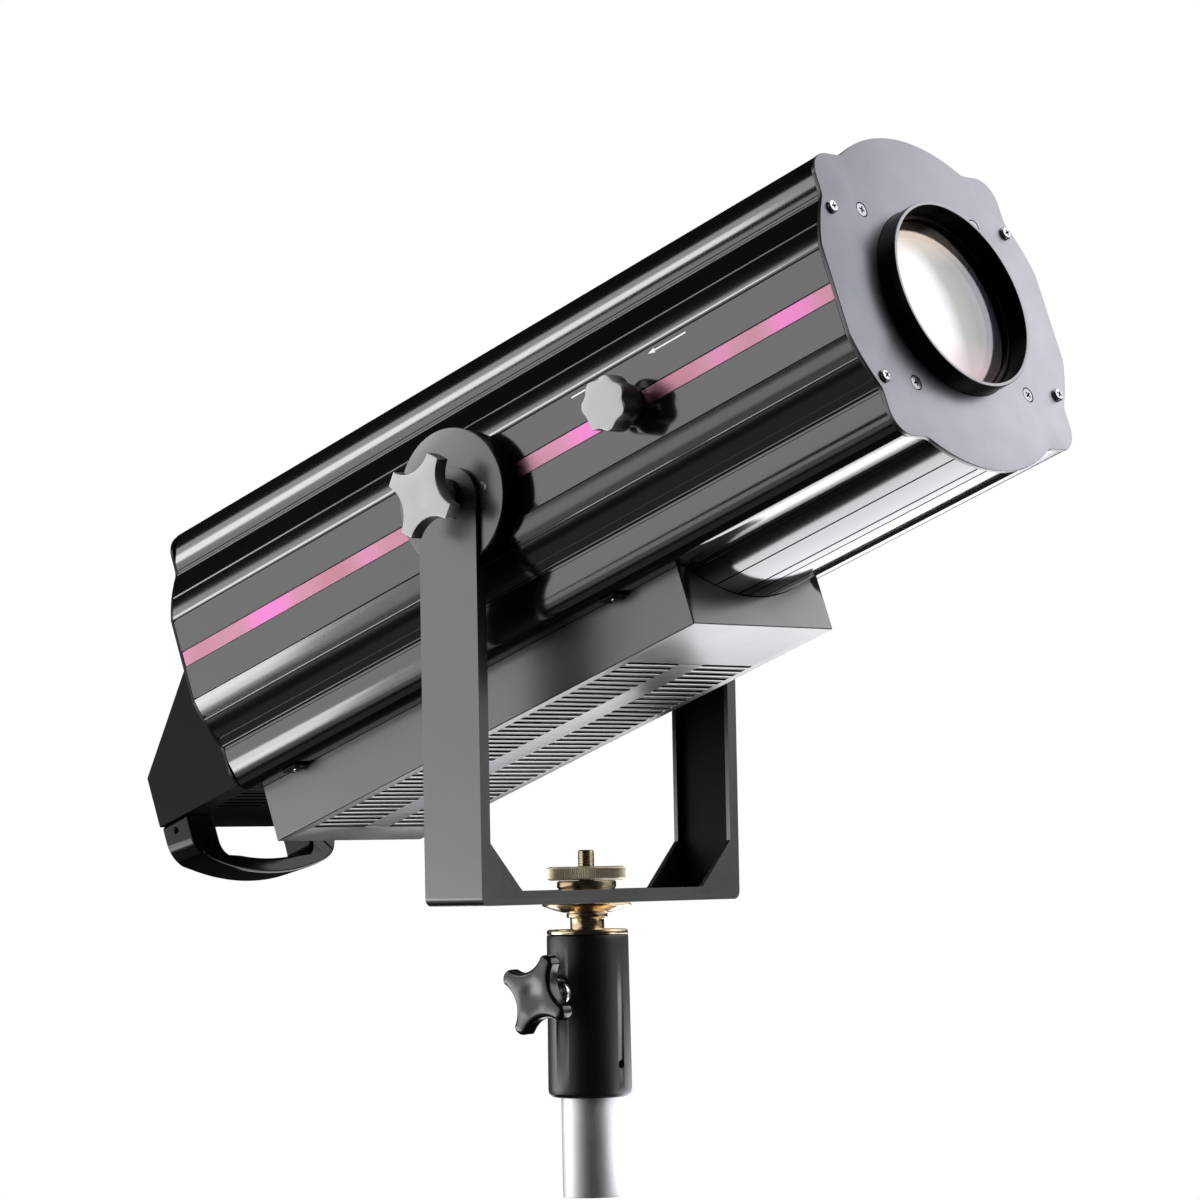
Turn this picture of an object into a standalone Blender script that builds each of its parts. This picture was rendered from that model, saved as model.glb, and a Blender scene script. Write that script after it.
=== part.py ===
"""Followspot: a long extruded lamp housing in a U yoke on a stand spigot.

World frame, metres: origin at the bottom centre of the stand tube, on the pan
axis; +Z up; +X the way the lamp points when it is level; +Y across the yoke.
The lamp's own pieces are modelled level, with x along the optical axis, y
across and z up, about the tilt axis, and hang under an empty that tilts them.
"""
import bpy
import bmesh
import math
from mathutils import Matrix, Vector

# ------------------------------------------------------------ driving sizes
MM = 0.001
GAP = 0.3 * MM                   # left between two pieces that touch

TILT_DEG = 19.36                 # the lamp's nose-up angle at rest

# stand head
TUBE_R, TUBE_WALL, TUBE_TOP = 17.5 * MM, 2.0 * MM, 101.5 * MM
SOCKET_R_TOP, SOCKET_R_LOW = 24.4 * MM, 25.1 * MM
SOCKET_Z0, SOCKET_Z1, SOCKET_STEP = 59.2 * MM, 156.0 * MM, 102.0 * MM
SPIGOT_R, NECK_R, STUD_R = 14.0 * MM, 10.2 * MM, 5.0 * MM
STUD_TOP = 206.7 * MM
CLAMP_Z = 121.4 * MM             # height of the socket's clamp knob
SET_HOLE_Z, SET_HOLE_R = 79.0 * MM, 2.6 * MM

# yoke
YOKE_Z = 175.0 * MM              # underside of the yoke's web
YOKE_HALF, YOKE_W, YOKE_T = 117.9 * MM, 22.5 * MM, 3.0 * MM
FLANGE = 8.0 * MM
GUSSET_Y, GUSSET_Z = 82.4 * MM, 36.2 * MM
ARM_TOP, ARM_CORNER, FLANGE_TOP = 255.2 * MM, 18.0 * MM, 196.0 * MM
BEND_R = 5.0 * MM

# tilt axis
PIVOT_Z = YOKE_Z + 238.3 * MM
DISC_R, DISC_T = 41.0 * MM, 2.0 * MM
TILT_STUD_R, TILT_NECK_R = 5.0 * MM, 4.0 * MM

# lamp housing: a round body with flattened sides and four corner lobes
BODY_R, BODY_C = 105.0 * MM, 1.7 * MM
FLAT, LOBE, LOBE_TOP, LOBE_CORNER = 101.0 * MM, 86.0 * MM, 86.3 * MM, 15.5 * MM
INSET = 0.6 * MM                 # the extrusions sit this far inside the plate's edge
WALL = 2.2 * MM
A_REAR, A_FRONT = -254.0 * MM, 289.9 * MM
PLATE_T = 3.0 * MM
SPLIT_V = 60.0 * MM              # where the top and bottom extrusions meet the sides
STRIPE_W, STRIPE_T = 10.0 * MM, 1.0 * MM
PORT_Y, PORT_V = 81.8 * MM, 51.4 * MM
INNER_SCREW = 53.0 * MM

# lens
BARREL_R, BARREL_IN, BARREL_OUT = 57.4 * MM, 55.0 * MM, 12.9 * MM
LENS_R, LENS_SAG = 54.6 * MM, 11.5 * MM

# power supply tray
TRAY_A0, TRAY_A1, TRAY_HALF, TRAY_LOW = -250.5 * MM, 107.0 * MM, 64.5 * MM, -121.5 * MM
TRAY_T = 1.2 * MM
SLOT_N, SLOT_A0, SLOT_A1 = 41, -224.5 * MM, 46.5 * MM
SLOT_Y0, SLOT_Y1, SLOT_W = 10.5 * MM, 57.0 * MM, 3.0 * MM

# rear cover and handle
COVER_HALF, COVER_BACK, COVER_LOW = 65.5 * MM, -344.8 * MM, -77.3 * MM
COVER_T = 1.5 * MM
SLOPE_TOP, SLOPE_LOW = 39.1 * MM, -43.9 * MM
HANDLE_DEPTH = 25.0 * MM

# focusing optics
FOCUS_A, FOCUS_TRAVEL = 134.0 * MM, 35.0 * MM
PINION_R, TOOTH = 10.0 * MM, 16
ROD_Y, ROD_V, ROD_R = 60.0 * MM, -42.0 * MM, 4.0 * MM

# ------------------------------------------------------------ clean start
for ob in list(bpy.data.objects):
    bpy.data.objects.remove(ob, do_unlink=True)

SCENE = bpy.context.scene.collection


# ------------------------------------------------------------ helpers
def material(name, rgb, rough, metal):
    m = bpy.data.materials.new(name)
    m.use_nodes = True
    b = m.node_tree.nodes["Principled BSDF"]
    b.inputs["Base Color"].default_value = (*rgb, 1.0)
    b.inputs["Roughness"].default_value = rough
    b.inputs["Metallic"].default_value = metal
    m.diffuse_color = (*rgb, 1.0)
    return m


def empty(name, matrix, parent=None):
    e = bpy.data.objects.new(name, None)
    SCENE.objects.link(e)
    e.parent = parent
    e.matrix_local = matrix
    return e


def make(name, bm, mat, parent=None, frame=None, origin=(0, 0, 0), angle=30):
    """An object from a bmesh; `frame` places the build axes in the parent, and
    `origin` is the point of the build axes that becomes the object's origin."""
    frame = frame or Matrix.Identity(4)
    bmesh.ops.remove_doubles(bm, verts=bm.verts, dist=2e-7)
    bmesh.ops.recalc_face_normals(bm, faces=bm.faces)
    bmesh.ops.translate(bm, verts=bm.verts, vec=-Vector(origin))
    me = bpy.data.meshes.new(name)
    bm.to_mesh(me)
    bm.free()
    me.shade_smooth()
    me.set_sharp_from_angle(angle=math.radians(angle))
    ob = bpy.data.objects.new(name, me)
    SCENE.objects.link(ob)
    if mat:
        me.materials.append(mat)
    ob.parent = parent
    ob.matrix_local = frame @ Matrix.Translation(origin)
    return ob


def boolean(ob, tool, op):
    """Cuts or joins `tool`, which stays behind as a guide that isn't built."""
    tool.hide_render = True
    tool.display_type = 'WIRE'
    m = ob.modifiers.new(op.lower() + "_" + tool.name, 'BOOLEAN')
    m.object = tool
    m.operation = op
    m.solver = 'EXACT'
    return m


def axis_frame(axis, at=(0, 0, 0)):
    """Build frame whose +Z runs along `axis` ('+X', '-Y', ...)."""
    d = {'X': Vector((1, 0, 0)), 'Y': Vector((0, 1, 0)), 'Z': Vector((0, 0, 1))}[axis[1]]
    if axis[0] == '-':
        d = -d
    return Matrix.Translation(at) @ d.to_track_quat('Z', 'Y').to_matrix().to_4x4()


def circle(r, n, cx=0.0, cy=0.0, a0=0.0):
    return [(cx + r * math.cos(a0 + 2 * math.pi * i / n),
             cy + r * math.sin(a0 + 2 * math.pi * i / n)) for i in range(n)]


def arc(cx, cy, r, a0, a1, n):
    """n + 1 points from angle a0 to a1, in degrees."""
    return [(cx + r * math.cos(math.radians(a0 + (a1 - a0) * i / n)),
             cy + r * math.sin(math.radians(a0 + (a1 - a0) * i / n))) for i in range(n + 1)]


def rect(x0, y0, x1, y1):
    return [(x0, y0), (x1, y0), (x1, y1), (x0, y1)]


def rounded_rect(x0, y0, x1, y1, r, n=3):
    return (arc(x1 - r, y0 + r, r, -90, 0, n) + arc(x1 - r, y1 - r, r, 0, 90, n)
            + arc(x0 + r, y1 - r, r, 90, 180, n) + arc(x0 + r, y0 + r, r, 180, 270, n))


def cap(bm, loops):
    edges = []
    for lp in loops:
        for a, b in zip(lp, lp[1:] + lp[:1]):
            edges.append(bm.edges.get((a, b)) or bm.edges.new((a, b)))
    bmesh.ops.triangle_fill(bm, use_beauty=True, use_dissolve=False, edges=edges)


def slab(bm, loops, h0, h1, loops1=None):
    """Solid between heights h0 and h1: the first loop is its outline and the
    others are holes; loops1 gives their shapes at h1 where they differ."""
    loops1 = loops1 or loops
    low = [[bm.verts.new((x, y, h0)) for x, y in lp] for lp in loops]
    high = [[bm.verts.new((x, y, h1)) for x, y in lp] for lp in loops1]
    cap(bm, low)
    cap(bm, high)
    for a, b in zip(low, high):
        n = len(a)
        for i in range(n):
            j = (i + 1) % n
            bm.faces.new((a[i], a[j], b[j], b[i]))
    return bm


def plate(loops, h0, h1, loops1=None):
    return slab(bmesh.new(), loops, h0, h1, loops1)


def lathe(profile, n, closed=True):
    """Turned solid about +Z from a closed profile of (radius, height)."""
    bm = bmesh.new()
    vs = [bm.verts.new((r, 0.0, h)) for r, h in profile]
    es = [bm.edges.new((a, b)) for a, b in zip(vs, vs[1:] + (vs[:1] if closed else []))
          if not (a.co.x < 1e-9 and b.co.x < 1e-9)]
    bmesh.ops.spin(bm, geom=vs + es, cent=(0, 0, 0), axis=(0, 0, 1),
                   angle=2 * math.pi, steps=n, use_merge=True, use_duplicate=False)
    bmesh.ops.remove_doubles(bm, verts=bm.verts, dist=2e-7)
    return bm


def add(bm, other, matrix=None):
    """Copies another bmesh into bm, as a separate body."""
    me = bpy.data.meshes.new("part_of_group")
    if matrix is not None:
        bmesh.ops.transform(other, matrix=matrix, verts=other.verts)
    other.to_mesh(me)
    other.free()
    bm.from_mesh(me)
    bpy.data.meshes.remove(me)
    return bm


def box(x0, y0, z0, x1, y1, z1):
    return plate([rect(x0, y0, x1, y1)], z0, z1)


def offset(path, d):
    """Open path moved sideways by d, to the right of its direction."""
    out = []
    for i, p in enumerate(path):
        p = Vector(p)
        a = (p - Vector(path[i - 1])).normalized() if i else None
        b = (Vector(path[i + 1]) - p).normalized() if i < len(path) - 1 else None
        a = a or b
        b = b or a
        na, nb = Vector((a.y, -a.x)), Vector((b.y, -b.x))
        m = (na + nb).normalized()
        out.append(tuple(p + m * d / max(m.dot(na), 0.5)))
    return out


# ------------------------------------------------------------ housing section
def quarter(e, dome=9, lobe=4, flank=4):
    """Upper right quarter of the body's outline, inset by e: from the crown
    (0, top) round the dome, the corner lobe and the flank to the flat side."""
    r, c = BODY_R - e, BODY_C
    top, side, flat = LOBE_TOP - e, LOBE - e, FLAT - e
    a1 = math.degrees(math.acos((top + c) / r))
    pts = [(r * math.sin(math.radians(a1 * i / dome)),
            r * math.cos(math.radians(a1 * i / dome)) - c) for i in range(dome + 1)]
    pts += arc(side - LOBE_CORNER, top - LOBE_CORNER, LOBE_CORNER, 90, 0, lobe)
    a2 = math.degrees(math.asin(side / r))
    a3 = math.degrees(math.asin(flat / r))
    pts += [(r * math.sin(math.radians(a2 + (a3 - a2) * i / flank)),
             r * math.cos(math.radians(a2 + (a3 - a2) * i / flank)) - c) for i in range(flank + 1)]
    return pts


def outline(e):
    q = quarter(e)
    right = q + [(y, -v) for y, v in reversed(q)]
    left = [(-y, v) for y, v in reversed(right)]
    return right + left[1:-1]


def between(pts, test):
    return [p for p in pts if test(p)]


def crown_panel(sign):
    """Section of the top (sign +1) or bottom (-1) extrusion."""
    q = between(quarter(INSET), lambda p: p[1] > SPLIT_V)
    right = q + [(LOBE - INSET, SPLIT_V + 0.2 * MM)]
    path = [(-y, v) for y, v in reversed(right)] + right[1:]
    inner = offset(path, WALL)
    sec = path + inner[::-1]
    return [(y, sign * v) for y, v in sec]


def screw_port(centre, out):
    """C-shaped screw channel: its mouth points away from the wall direction."""
    cx, cy = centre
    a = math.degrees(math.atan2(-out[1], -out[0]))
    return (arc(cx, cy, 4.3 * MM, a - 148, a - 36, 4) + arc(cx, cy, 2.3 * MM, a - 36, a - 324, 8)
            + arc(cx, cy, 4.3 * MM, a + 36, a + 148, 4))


def side_panel(sign):
    """Section of a side extrusion, with a recess for the stripe outside and
    two screw channels inside. sign is the side it stands on."""
    q = between(quarter(INSET), lambda p: p[1] < SPLIT_V)
    flat = FLAT - INSET
    rec = STRIPE_W / 2 + 0.2 * MM
    deep = STRIPE_T + GAP
    upper = [(LOBE - INSET, SPLIT_V - 0.2 * MM)] + q
    lower = [(y, -v) for y, v in reversed(upper)]
    path = upper + [(flat, rec), (flat - deep, rec), (flat - deep, -rec), (flat, -rec)] + lower
    plain = upper + lower
    inner = offset(plain, WALL)
    n = math.hypot(PORT_Y, PORT_V + BODY_C)
    out = (PORT_Y / n, (PORT_V + BODY_C) / n)
    port_hi = screw_port((PORT_Y, PORT_V), out)
    port_lo = [(y, -v) for y, v in reversed(port_hi)]
    reach = max(p[1] for p in port_hi) - 0.2 * MM
    floor = min(p[1] for p in port_hi) + 0.6 * MM
    hi = [p for p in inner if p[1] > reach]
    mid = [p for p in inner if -floor < p[1] < floor]
    lo = [p for p in inner if p[1] < -reach]
    # the upper channel is entered from above, so it is walked top to bottom
    first = port_hi if port_hi[0][1] > port_hi[-1][1] else port_hi[::-1]
    second = port_lo if port_lo[0][1] > port_lo[-1][1] else port_lo[::-1]
    inner = hi + first + mid + second + lo
    sec = path + inner[::-1]
    return [(sign * y, v) for y, v in sec]


# ------------------------------------------------------------ knob outlines
def three_point_arc(p, q, r, n):
    """Points from p through q to r, without r."""
    (ax, ay), (bx, by), (cx, cy) = p, q, r
    d = 2 * (ax * (by - cy) + bx * (cy - ay) + cx * (ay - by))
    ux = ((ax * ax + ay * ay) * (by - cy) + (bx * bx + by * by) * (cy - ay)
          + (cx * cx + cy * cy) * (ay - by)) / d
    uy = ((ax * ax + ay * ay) * (cx - bx) + (bx * bx + by * by) * (ax - cx)
          + (cx * cx + cy * cy) * (bx - ax)) / d
    rad = math.hypot(ax - ux, ay - uy)
    a0, a1, a2 = (math.atan2(y - uy, x - ux) for x, y in (p, q, r))
    while a1 - a0 > math.pi:
        a1 -= 2 * math.pi
    while a1 - a0 < -math.pi:
        a1 += 2 * math.pi
    while a2 - a1 > math.pi:
        a2 -= 2 * math.pi
    while a2 - a1 < -math.pi:
        a2 += 2 * math.pi
    return [(ux + rad * math.cos(a0 + (a2 - a0) * i / n),
             uy + rad * math.sin(a0 + (a2 - a0) * i / n)) for i in range(n)]


def star(n, r_tip, r_valley, tip_w, turn_deg, seg=5, tip_round=0.0):
    """Outline of a lobed knob: n arms with tips tip_w wide, hollows between."""
    pts = []
    for k in range(n):
        a = math.radians(turn_deg) + 2 * math.pi * k / n
        b = a + 2 * math.pi / n
        m = (a + b) / 2
        u, w = (math.cos(a), math.sin(a)), (math.cos(b), math.sin(b))
        h = tip_w / 2
        left = (r_tip * u[0] - h * u[1], r_tip * u[1] + h * u[0])
        right = (r_tip * w[0] + h * w[1], r_tip * w[1] - h * w[0])
        back = (r_tip * u[0] + h * u[1], r_tip * u[1] - h * u[0])
        if tip_round:
            top = ((r_tip + tip_round) * u[0], (r_tip + tip_round) * u[1])
            pts += three_point_arc(back, top, left, 4)
        valley = (r_valley * math.cos(m), r_valley * math.sin(m))
        pts += three_point_arc(left, valley, right, seg)
        if not tip_round:
            pts += [right]
    return pts


def scallop(n, r, depth, turn_deg, seg=4):
    """Round outline with n shallow hollows."""
    return [((r - depth * (0.5 - 0.5 * math.cos(n * t))) * math.cos(t + math.radians(turn_deg)),
             (r - depth * (0.5 - 0.5 * math.cos(n * t))) * math.sin(t + math.radians(turn_deg)))
            for t in (2 * math.pi * i / (n * seg) for i in range(n * seg))]


# ------------------------------------------------------------ materials
BLACK_ALU = (0.035, 0.035, 0.04)
M = {
    "silver": lambda n: material(n, (0.78, 0.79, 0.80), 0.28, 1.0),
    "zinc": lambda n: material(n, (0.86, 0.68, 0.36), 0.22, 1.0),
    "chrome": lambda n: material(n, (0.85, 0.85, 0.87), 0.12, 1.0),
    "black": lambda n: material(n, (0.03, 0.03, 0.033), 0.38, 0.0),
    "anodised": lambda n: material(n, BLACK_ALU, 0.30, 0.6),
    "plate": lambda n: material(n, (0.05, 0.05, 0.055), 0.45, 0.4),
    "plastic": lambda n: material(n, (0.02, 0.02, 0.022), 0.35, 0.0),
    "pink": lambda n: material(n, (0.86, 0.30, 0.55), 0.30, 0.0),
    "glass": lambda n: material(n, (0.9, 0.92, 0.93), 0.03, 0.0),
    "alu": lambda n: material(n, (0.70, 0.71, 0.72), 0.35, 1.0),
    "green": lambda n: material(n, (0.04, 0.22, 0.10), 0.5, 0.0),
    "red": lambda n: material(n, (0.75, 0.05, 0.04), 0.35, 0.0),
    "white": lambda n: material(n, (0.80, 0.80, 0.78), 0.5, 0.0),
}


def mat(kind, node):
    return M[kind](node + "_finish")


# ============================================================ stand head
def stand_head():
    make("stand_tube", lathe([(TUBE_R, TUBE_TOP), (TUBE_R, 0.0), (TUBE_R - TUBE_WALL, 0.0),
                              (TUBE_R - TUBE_WALL, TUBE_TOP)], 24), mat("silver", "stand_tube"))
    r = TUBE_R - TUBE_WALL - GAP
    make("tube_end_plug", lathe([(0, 9 * MM), (r - 1.5 * MM, 9 * MM), (r, 7.5 * MM), (r, 0), (0, 0)], 24),
         mat("plastic", "tube_end_plug"))

    low, top = SOCKET_Z0, SOCKET_Z1
    rl, rt = SOCKET_R_LOW, SOCKET_R_TOP
    bore_t, bore_s = TUBE_R + GAP, SPIGOT_R + 0.25 * MM
    body = make("stand_socket", lathe([
        (rt, top), (rl, low + 5 * MM), (rl - 1.3 * MM, low + 1.6 * MM), (rl - 4 * MM, low),
        (bore_t, low), (bore_t, SOCKET_STEP), (bore_s, SOCKET_STEP), (bore_s, top)], 28),
        mat("black", "stand_socket"))
    hole = make("cut_clamp_hole", lathe([(0, 0), (4.6 * MM, 0), (4.6 * MM, 30 * MM), (0, 30 * MM)], 16), None,
                frame=axis_frame('-Y', (0, 0, CLAMP_Z)))
    boolean(body, hole, 'DIFFERENCE')
    hole2 = make("cut_set_hole", lathe([(0, 0), (SET_HOLE_R, 0), (SET_HOLE_R, 32 * MM), (0, 32 * MM)], 16), None,
                 frame=axis_frame('+X', (0, 0, SET_HOLE_Z)))
    boolean(body, hole2, 'DIFFERENCE')


def clamp_knob(name, frame, parent, arm_t, hub_r, hub_len, outline_pts, bore_r, bore_len, face_dome=1.2 * MM):
    """Knob along the frame's +Z: hub from z = 0, arms on top, blind bore from below."""
    bm = bmesh.new()
    z0, z1 = hub_len, hub_len + arm_t
    inner = [(x * 0.86, y * 0.86) for x, y in outline_pts]
    n = len(outline_pts)
    # arms: outline rising to a slightly domed face; underside drops to the hub
    rings = [[bm.verts.new((x, y, h)) for x, y in pts] for pts, h in (
        ([(x * 0.97, y * 0.97) for x, y in outline_pts], z0), (outline_pts, z0 + 1.0 * MM),
        (outline_pts, z1 - 1.5 * MM), ([(x * 0.97, y * 0.97) for x, y in outline_pts], z1 - 0.5 * MM),
        (inner, z1))]
    for a, b in zip(rings, rings[1:]):
        for i in range(n):
            j = (i + 1) % n
            bm.faces.new((a[i], a[j], b[j], b[i]))
    top = bm.verts.new((0, 0, z1 + face_dome * 0.4))
    for i in range(n):
        bm.faces.new((rings[-1][i], rings[-1][(i + 1) % n], top))
    hub = [bm.verts.new((x, y, z0)) for x, y in circle(hub_r, 16)]
    cap(bm, [rings[0], hub])
    foot = [bm.verts.new((x, y, 0)) for x, y in circle(hub_r * 0.92, 16)]
    for i in range(16):
        j = (i + 1) % 16
        bm.faces.new((foot[i], foot[j], hub[j], hub[i]))
    if bore_len:
        mouth = [bm.verts.new((x, y, 0)) for x, y in circle(bore_r, 12)]
        cap(bm, [foot, mouth])
        end = [bm.verts.new((x, y, bore_len)) for x, y in circle(bore_r, 12)]
        for i in range(12):
            j = (i + 1) % 12
            bm.faces.new((mouth[i], mouth[j], end[j], end[i]))
        bm.faces.new(end)
    else:
        bm.faces.new(foot)
    return make(name, bm, mat("plastic", name), parent=parent, frame=frame, angle=40)


def socket_clamp():
    f = axis_frame('-Y', (0, 0, CLAMP_Z))
    # bolt from the spigot's groove out through the socket wall, with a locking collar
    make("socket_clamp_bolt", lathe([
        (0, 43 * MM), (3.9 * MM, 43 * MM), (3.9 * MM, 30.4 * MM), (9.5 * MM, 30.2 * MM), (9.5 * MM, 26.0 * MM),
        (4.3 * MM, 25.6 * MM), (4.3 * MM, 14.4 * MM), (0, 14.4 * MM)], 16),
        mat("chrome", "socket_clamp_bolt"), frame=f)
    pts = star(4, 23.0 * MM, 14.5 * MM, 10.5 * MM, 62.5, tip_round=3.4 * MM)
    clamp_knob("socket_knob", axis_frame('-Y', (0, -31.0 * MM, CLAMP_Z)), None,
               11.0 * MM, 9.5 * MM, 8.0 * MM, [(x, y) for x, y in pts], 4.2 * MM, 13.0 * MM)


def spigot_parts(parent):
    make("spigot", lathe([
        (0, STUD_TOP), (4.0 * MM, STUD_TOP), (STUD_R, STUD_TOP - 1.0 * MM), (STUD_R, 169.0 * MM),
        (12.3 * MM, 169.0 * MM), (12.3 * MM, 166.4 * MM), (NECK_R, 165.8 * MM), (NECK_R, SOCKET_Z1 + 3.2 * MM),
        (23.4 * MM, SOCKET_Z1 + 3.2 * MM), (24.3 * MM, SOCKET_Z1 + 2.3 * MM), (24.3 * MM, SOCKET_Z1 + GAP),
        (SPIGOT_R, SOCKET_Z1 + GAP), (SPIGOT_R, 104.5 * MM), (0, 104.5 * MM)], 24),
        mat("zinc", "spigot"), parent=parent)
    z = YOKE_Z
    make("cup_washer", lathe([
        (5.4 * MM, z - 4.3 * MM), (13.6 * MM, z - 4.3 * MM), (22.0 * MM, z - 1.4 * MM), (26.7 * MM, z - GAP),
        (26.9 * MM, z - 1.6 * MM), (22.6 * MM, z - 3.2 * MM), (14.2 * MM, z - 5.7 * MM), (5.4 * MM, z - 5.7 * MM)], 24),
        mat("zinc", "cup_washer"), parent=parent)
    z = YOKE_Z + YOKE_T
    make("clamp_collar", lathe([
        (5.4 * MM, z + 10.3 * MM), (16.8 * MM, z + 10.3 * MM), (17.8 * MM, z + 9.3 * MM), (17.8 * MM, z + GAP),
        (5.4 * MM, z + GAP)], 24), mat("zinc", "clamp_collar"), parent=parent)
    z += 10.6 * MM
    grip = scallop(30, 23.6 * MM, 0.5 * MM, 0, seg=2)
    bore = circle(5.3 * MM, 16)
    make("knurled_nut", plate([grip, bore], z, z + 8.2 * MM), mat("zinc", "knurled_nut"), parent=parent)


def yoke(parent):
    h, t = YOKE_HALF, YOKE_T
    bend = BEND_R

    def bent(half, top, low, r):
        """Inside or outside line of the bent strip, left arm top to right arm top."""
        right = arc(half - r, low + r, r, -90, 0, 4)
        left = [(-y, z) for y, z in reversed(right)]
        return [(-half, top)] + left + right + [(half, top)]

    outer = bent(h, ARM_TOP, 0.0, bend)
    inner = bent(h - t, ARM_TOP, t, bend - t)
    e = 0.1 * MM
    fr = Matrix.Translation((0, 0, YOKE_Z)) @ Matrix(((0, 0, 1, 0), (1, 0, 0, 0), (0, 1, 0, 0), (0, 0, 0, 1)))
    ob = make("yoke", plate([outer + inner[::-1]], -YOKE_W, YOKE_W), mat("black", "yoke"), parent=parent, frame=fr)
    # turned-in edges with the corner gussets, front and rear
    out2 = bent(h - e, FLANGE_TOP, e, bend)
    in2 = [(h - FLANGE, FLANGE_TOP), (h - FLANGE, GUSSET_Z), (GUSSET_Y, FLANGE),
           (-GUSSET_Y, FLANGE), (-h + FLANGE, GUSSET_Z), (-h + FLANGE, FLANGE_TOP)]
    sides = plate([out2 + in2], YOKE_W - t, YOKE_W + e)
    add(sides, plate([out2 + in2], -YOKE_W - e, -YOKE_W + t))
    tool = make("join_yoke_edges", sides, None, parent=parent, frame=fr)
    boolean(ob, tool, 'UNION')
    # rounded arm tops, tilt holes and the centre hole
    z0 = YOKE_Z + ARM_TOP
    top = [(-YOKE_W - 1 * MM, z0 - ARM_CORNER), (-YOKE_W, z0 - ARM_CORNER)]
    top += arc(-YOKE_W + ARM_CORNER, z0 - ARM_CORNER, ARM_CORNER, 180, 90, 6)[1:]
    top += arc(YOKE_W - ARM_CORNER, z0 - ARM_CORNER, ARM_CORNER, 90, 0, 6)
    top += [(YOKE_W + 1 * MM, z0 - ARM_CORNER), (YOKE_W + 1 * MM, z0 + 5 * MM), (-YOKE_W - 1 * MM, z0 + 5 * MM)]
    fy = Matrix(((1, 0, 0, 0), (0, 0, -1, 0), (0, 1, 0, 0), (0, 0, 0, 1)))
    cut = make("cut_arm_tops", plate([top], -h - 5 * MM, h + 5 * MM), None, parent=parent, frame=fy)
    boolean(ob, cut, 'DIFFERENCE')
    cut = make("cut_tilt_holes", plate([circle(TILT_STUD_R + 0.4 * MM, 20, 0, PIVOT_Z)], -h - 5 * MM, h + 5 * MM),
               None, parent=parent, frame=fy)
    boolean(ob, cut, 'DIFFERENCE')
    cut = make("cut_stud_hole", plate([circle(STUD_R + 0.4 * MM, 20)], YOKE_Z - 5 * MM, YOKE_Z + 8 * MM), None,
               parent=parent)
    boolean(ob, cut, 'DIFFERENCE')


# ============================================================ lamp
# section axes (y, v) extruded along x
SEC = Matrix(((0, 0, 1, 0), (1, 0, 0, 0), (0, 1, 0, 0), (0, 0, 0, 1)))
# side axes (x, v) extruded along y: the third build axis is -y
SIDE = Matrix(((1, 0, 0, 0), (0, 0, -1, 0), (0, 1, 0, 0), (0, 0, 0, 1)))
ALONG = axis_frame('+X')


def y_hole(name, r, x, y0, y1, parent, n=18, v=0.0):
    return make(name, plate([circle(r, n, x, v)], -y1, -y0), None, parent=parent, frame=SIDE)


def housing(parent):
    top = make("housing_top", plate([crown_panel(1)], A_REAR, A_FRONT), mat("anodised", "housing_top"), parent, SEC)
    low = make("housing_bottom", plate([crown_panel(-1)], A_REAR, A_FRONT), mat("anodised", "housing_bottom"),
               parent, SEC)
    win = make("cut_tray_window", box(-238 * MM, -48 * MM, -110 * MM, 95 * MM, 48 * MM, -70 * MM), None, parent)
    boolean(low, win, 'DIFFERENCE')
    for name, s in (("housing_near", -1), ("housing_far", 1)):
        ob = make(name, plate([side_panel(s)], A_REAR, A_FRONT), mat("anodised", name), parent, SEC)
        y0, y1 = sorted((s * 90 * MM, s * 104 * MM))
        cut = y_hole("cut_pivot_" + name, TILT_NECK_R + 0.3 * MM, 0.0, y0, y1, parent)
        boolean(ob, cut, 'DIFFERENCE')
        if s < 0:
            cut = y_hole("cut_focus_" + name, 4.6 * MM, FOCUS_A, y0, y1, parent)
            boolean(ob, cut, 'DIFFERENCE')
    y = FLAT - INSET - 0.1 * MM
    for name, s in (("stripe_near", -1), ("stripe_far", 1)):
        loops = [rect(A_REAR, -STRIPE_W / 2, A_FRONT, STRIPE_W / 2), circle(TILT_NECK_R + 0.3 * MM, 16)]
        if s < 0:
            loops.append(circle(4.6 * MM, 16, FOCUS_A, 0))
        h0, h1 = sorted((-s * y, -s * (y - STRIPE_T)))
        make(name, plate(loops, h0, h1), mat("pink", name), parent, SIDE)
    return top


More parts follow.
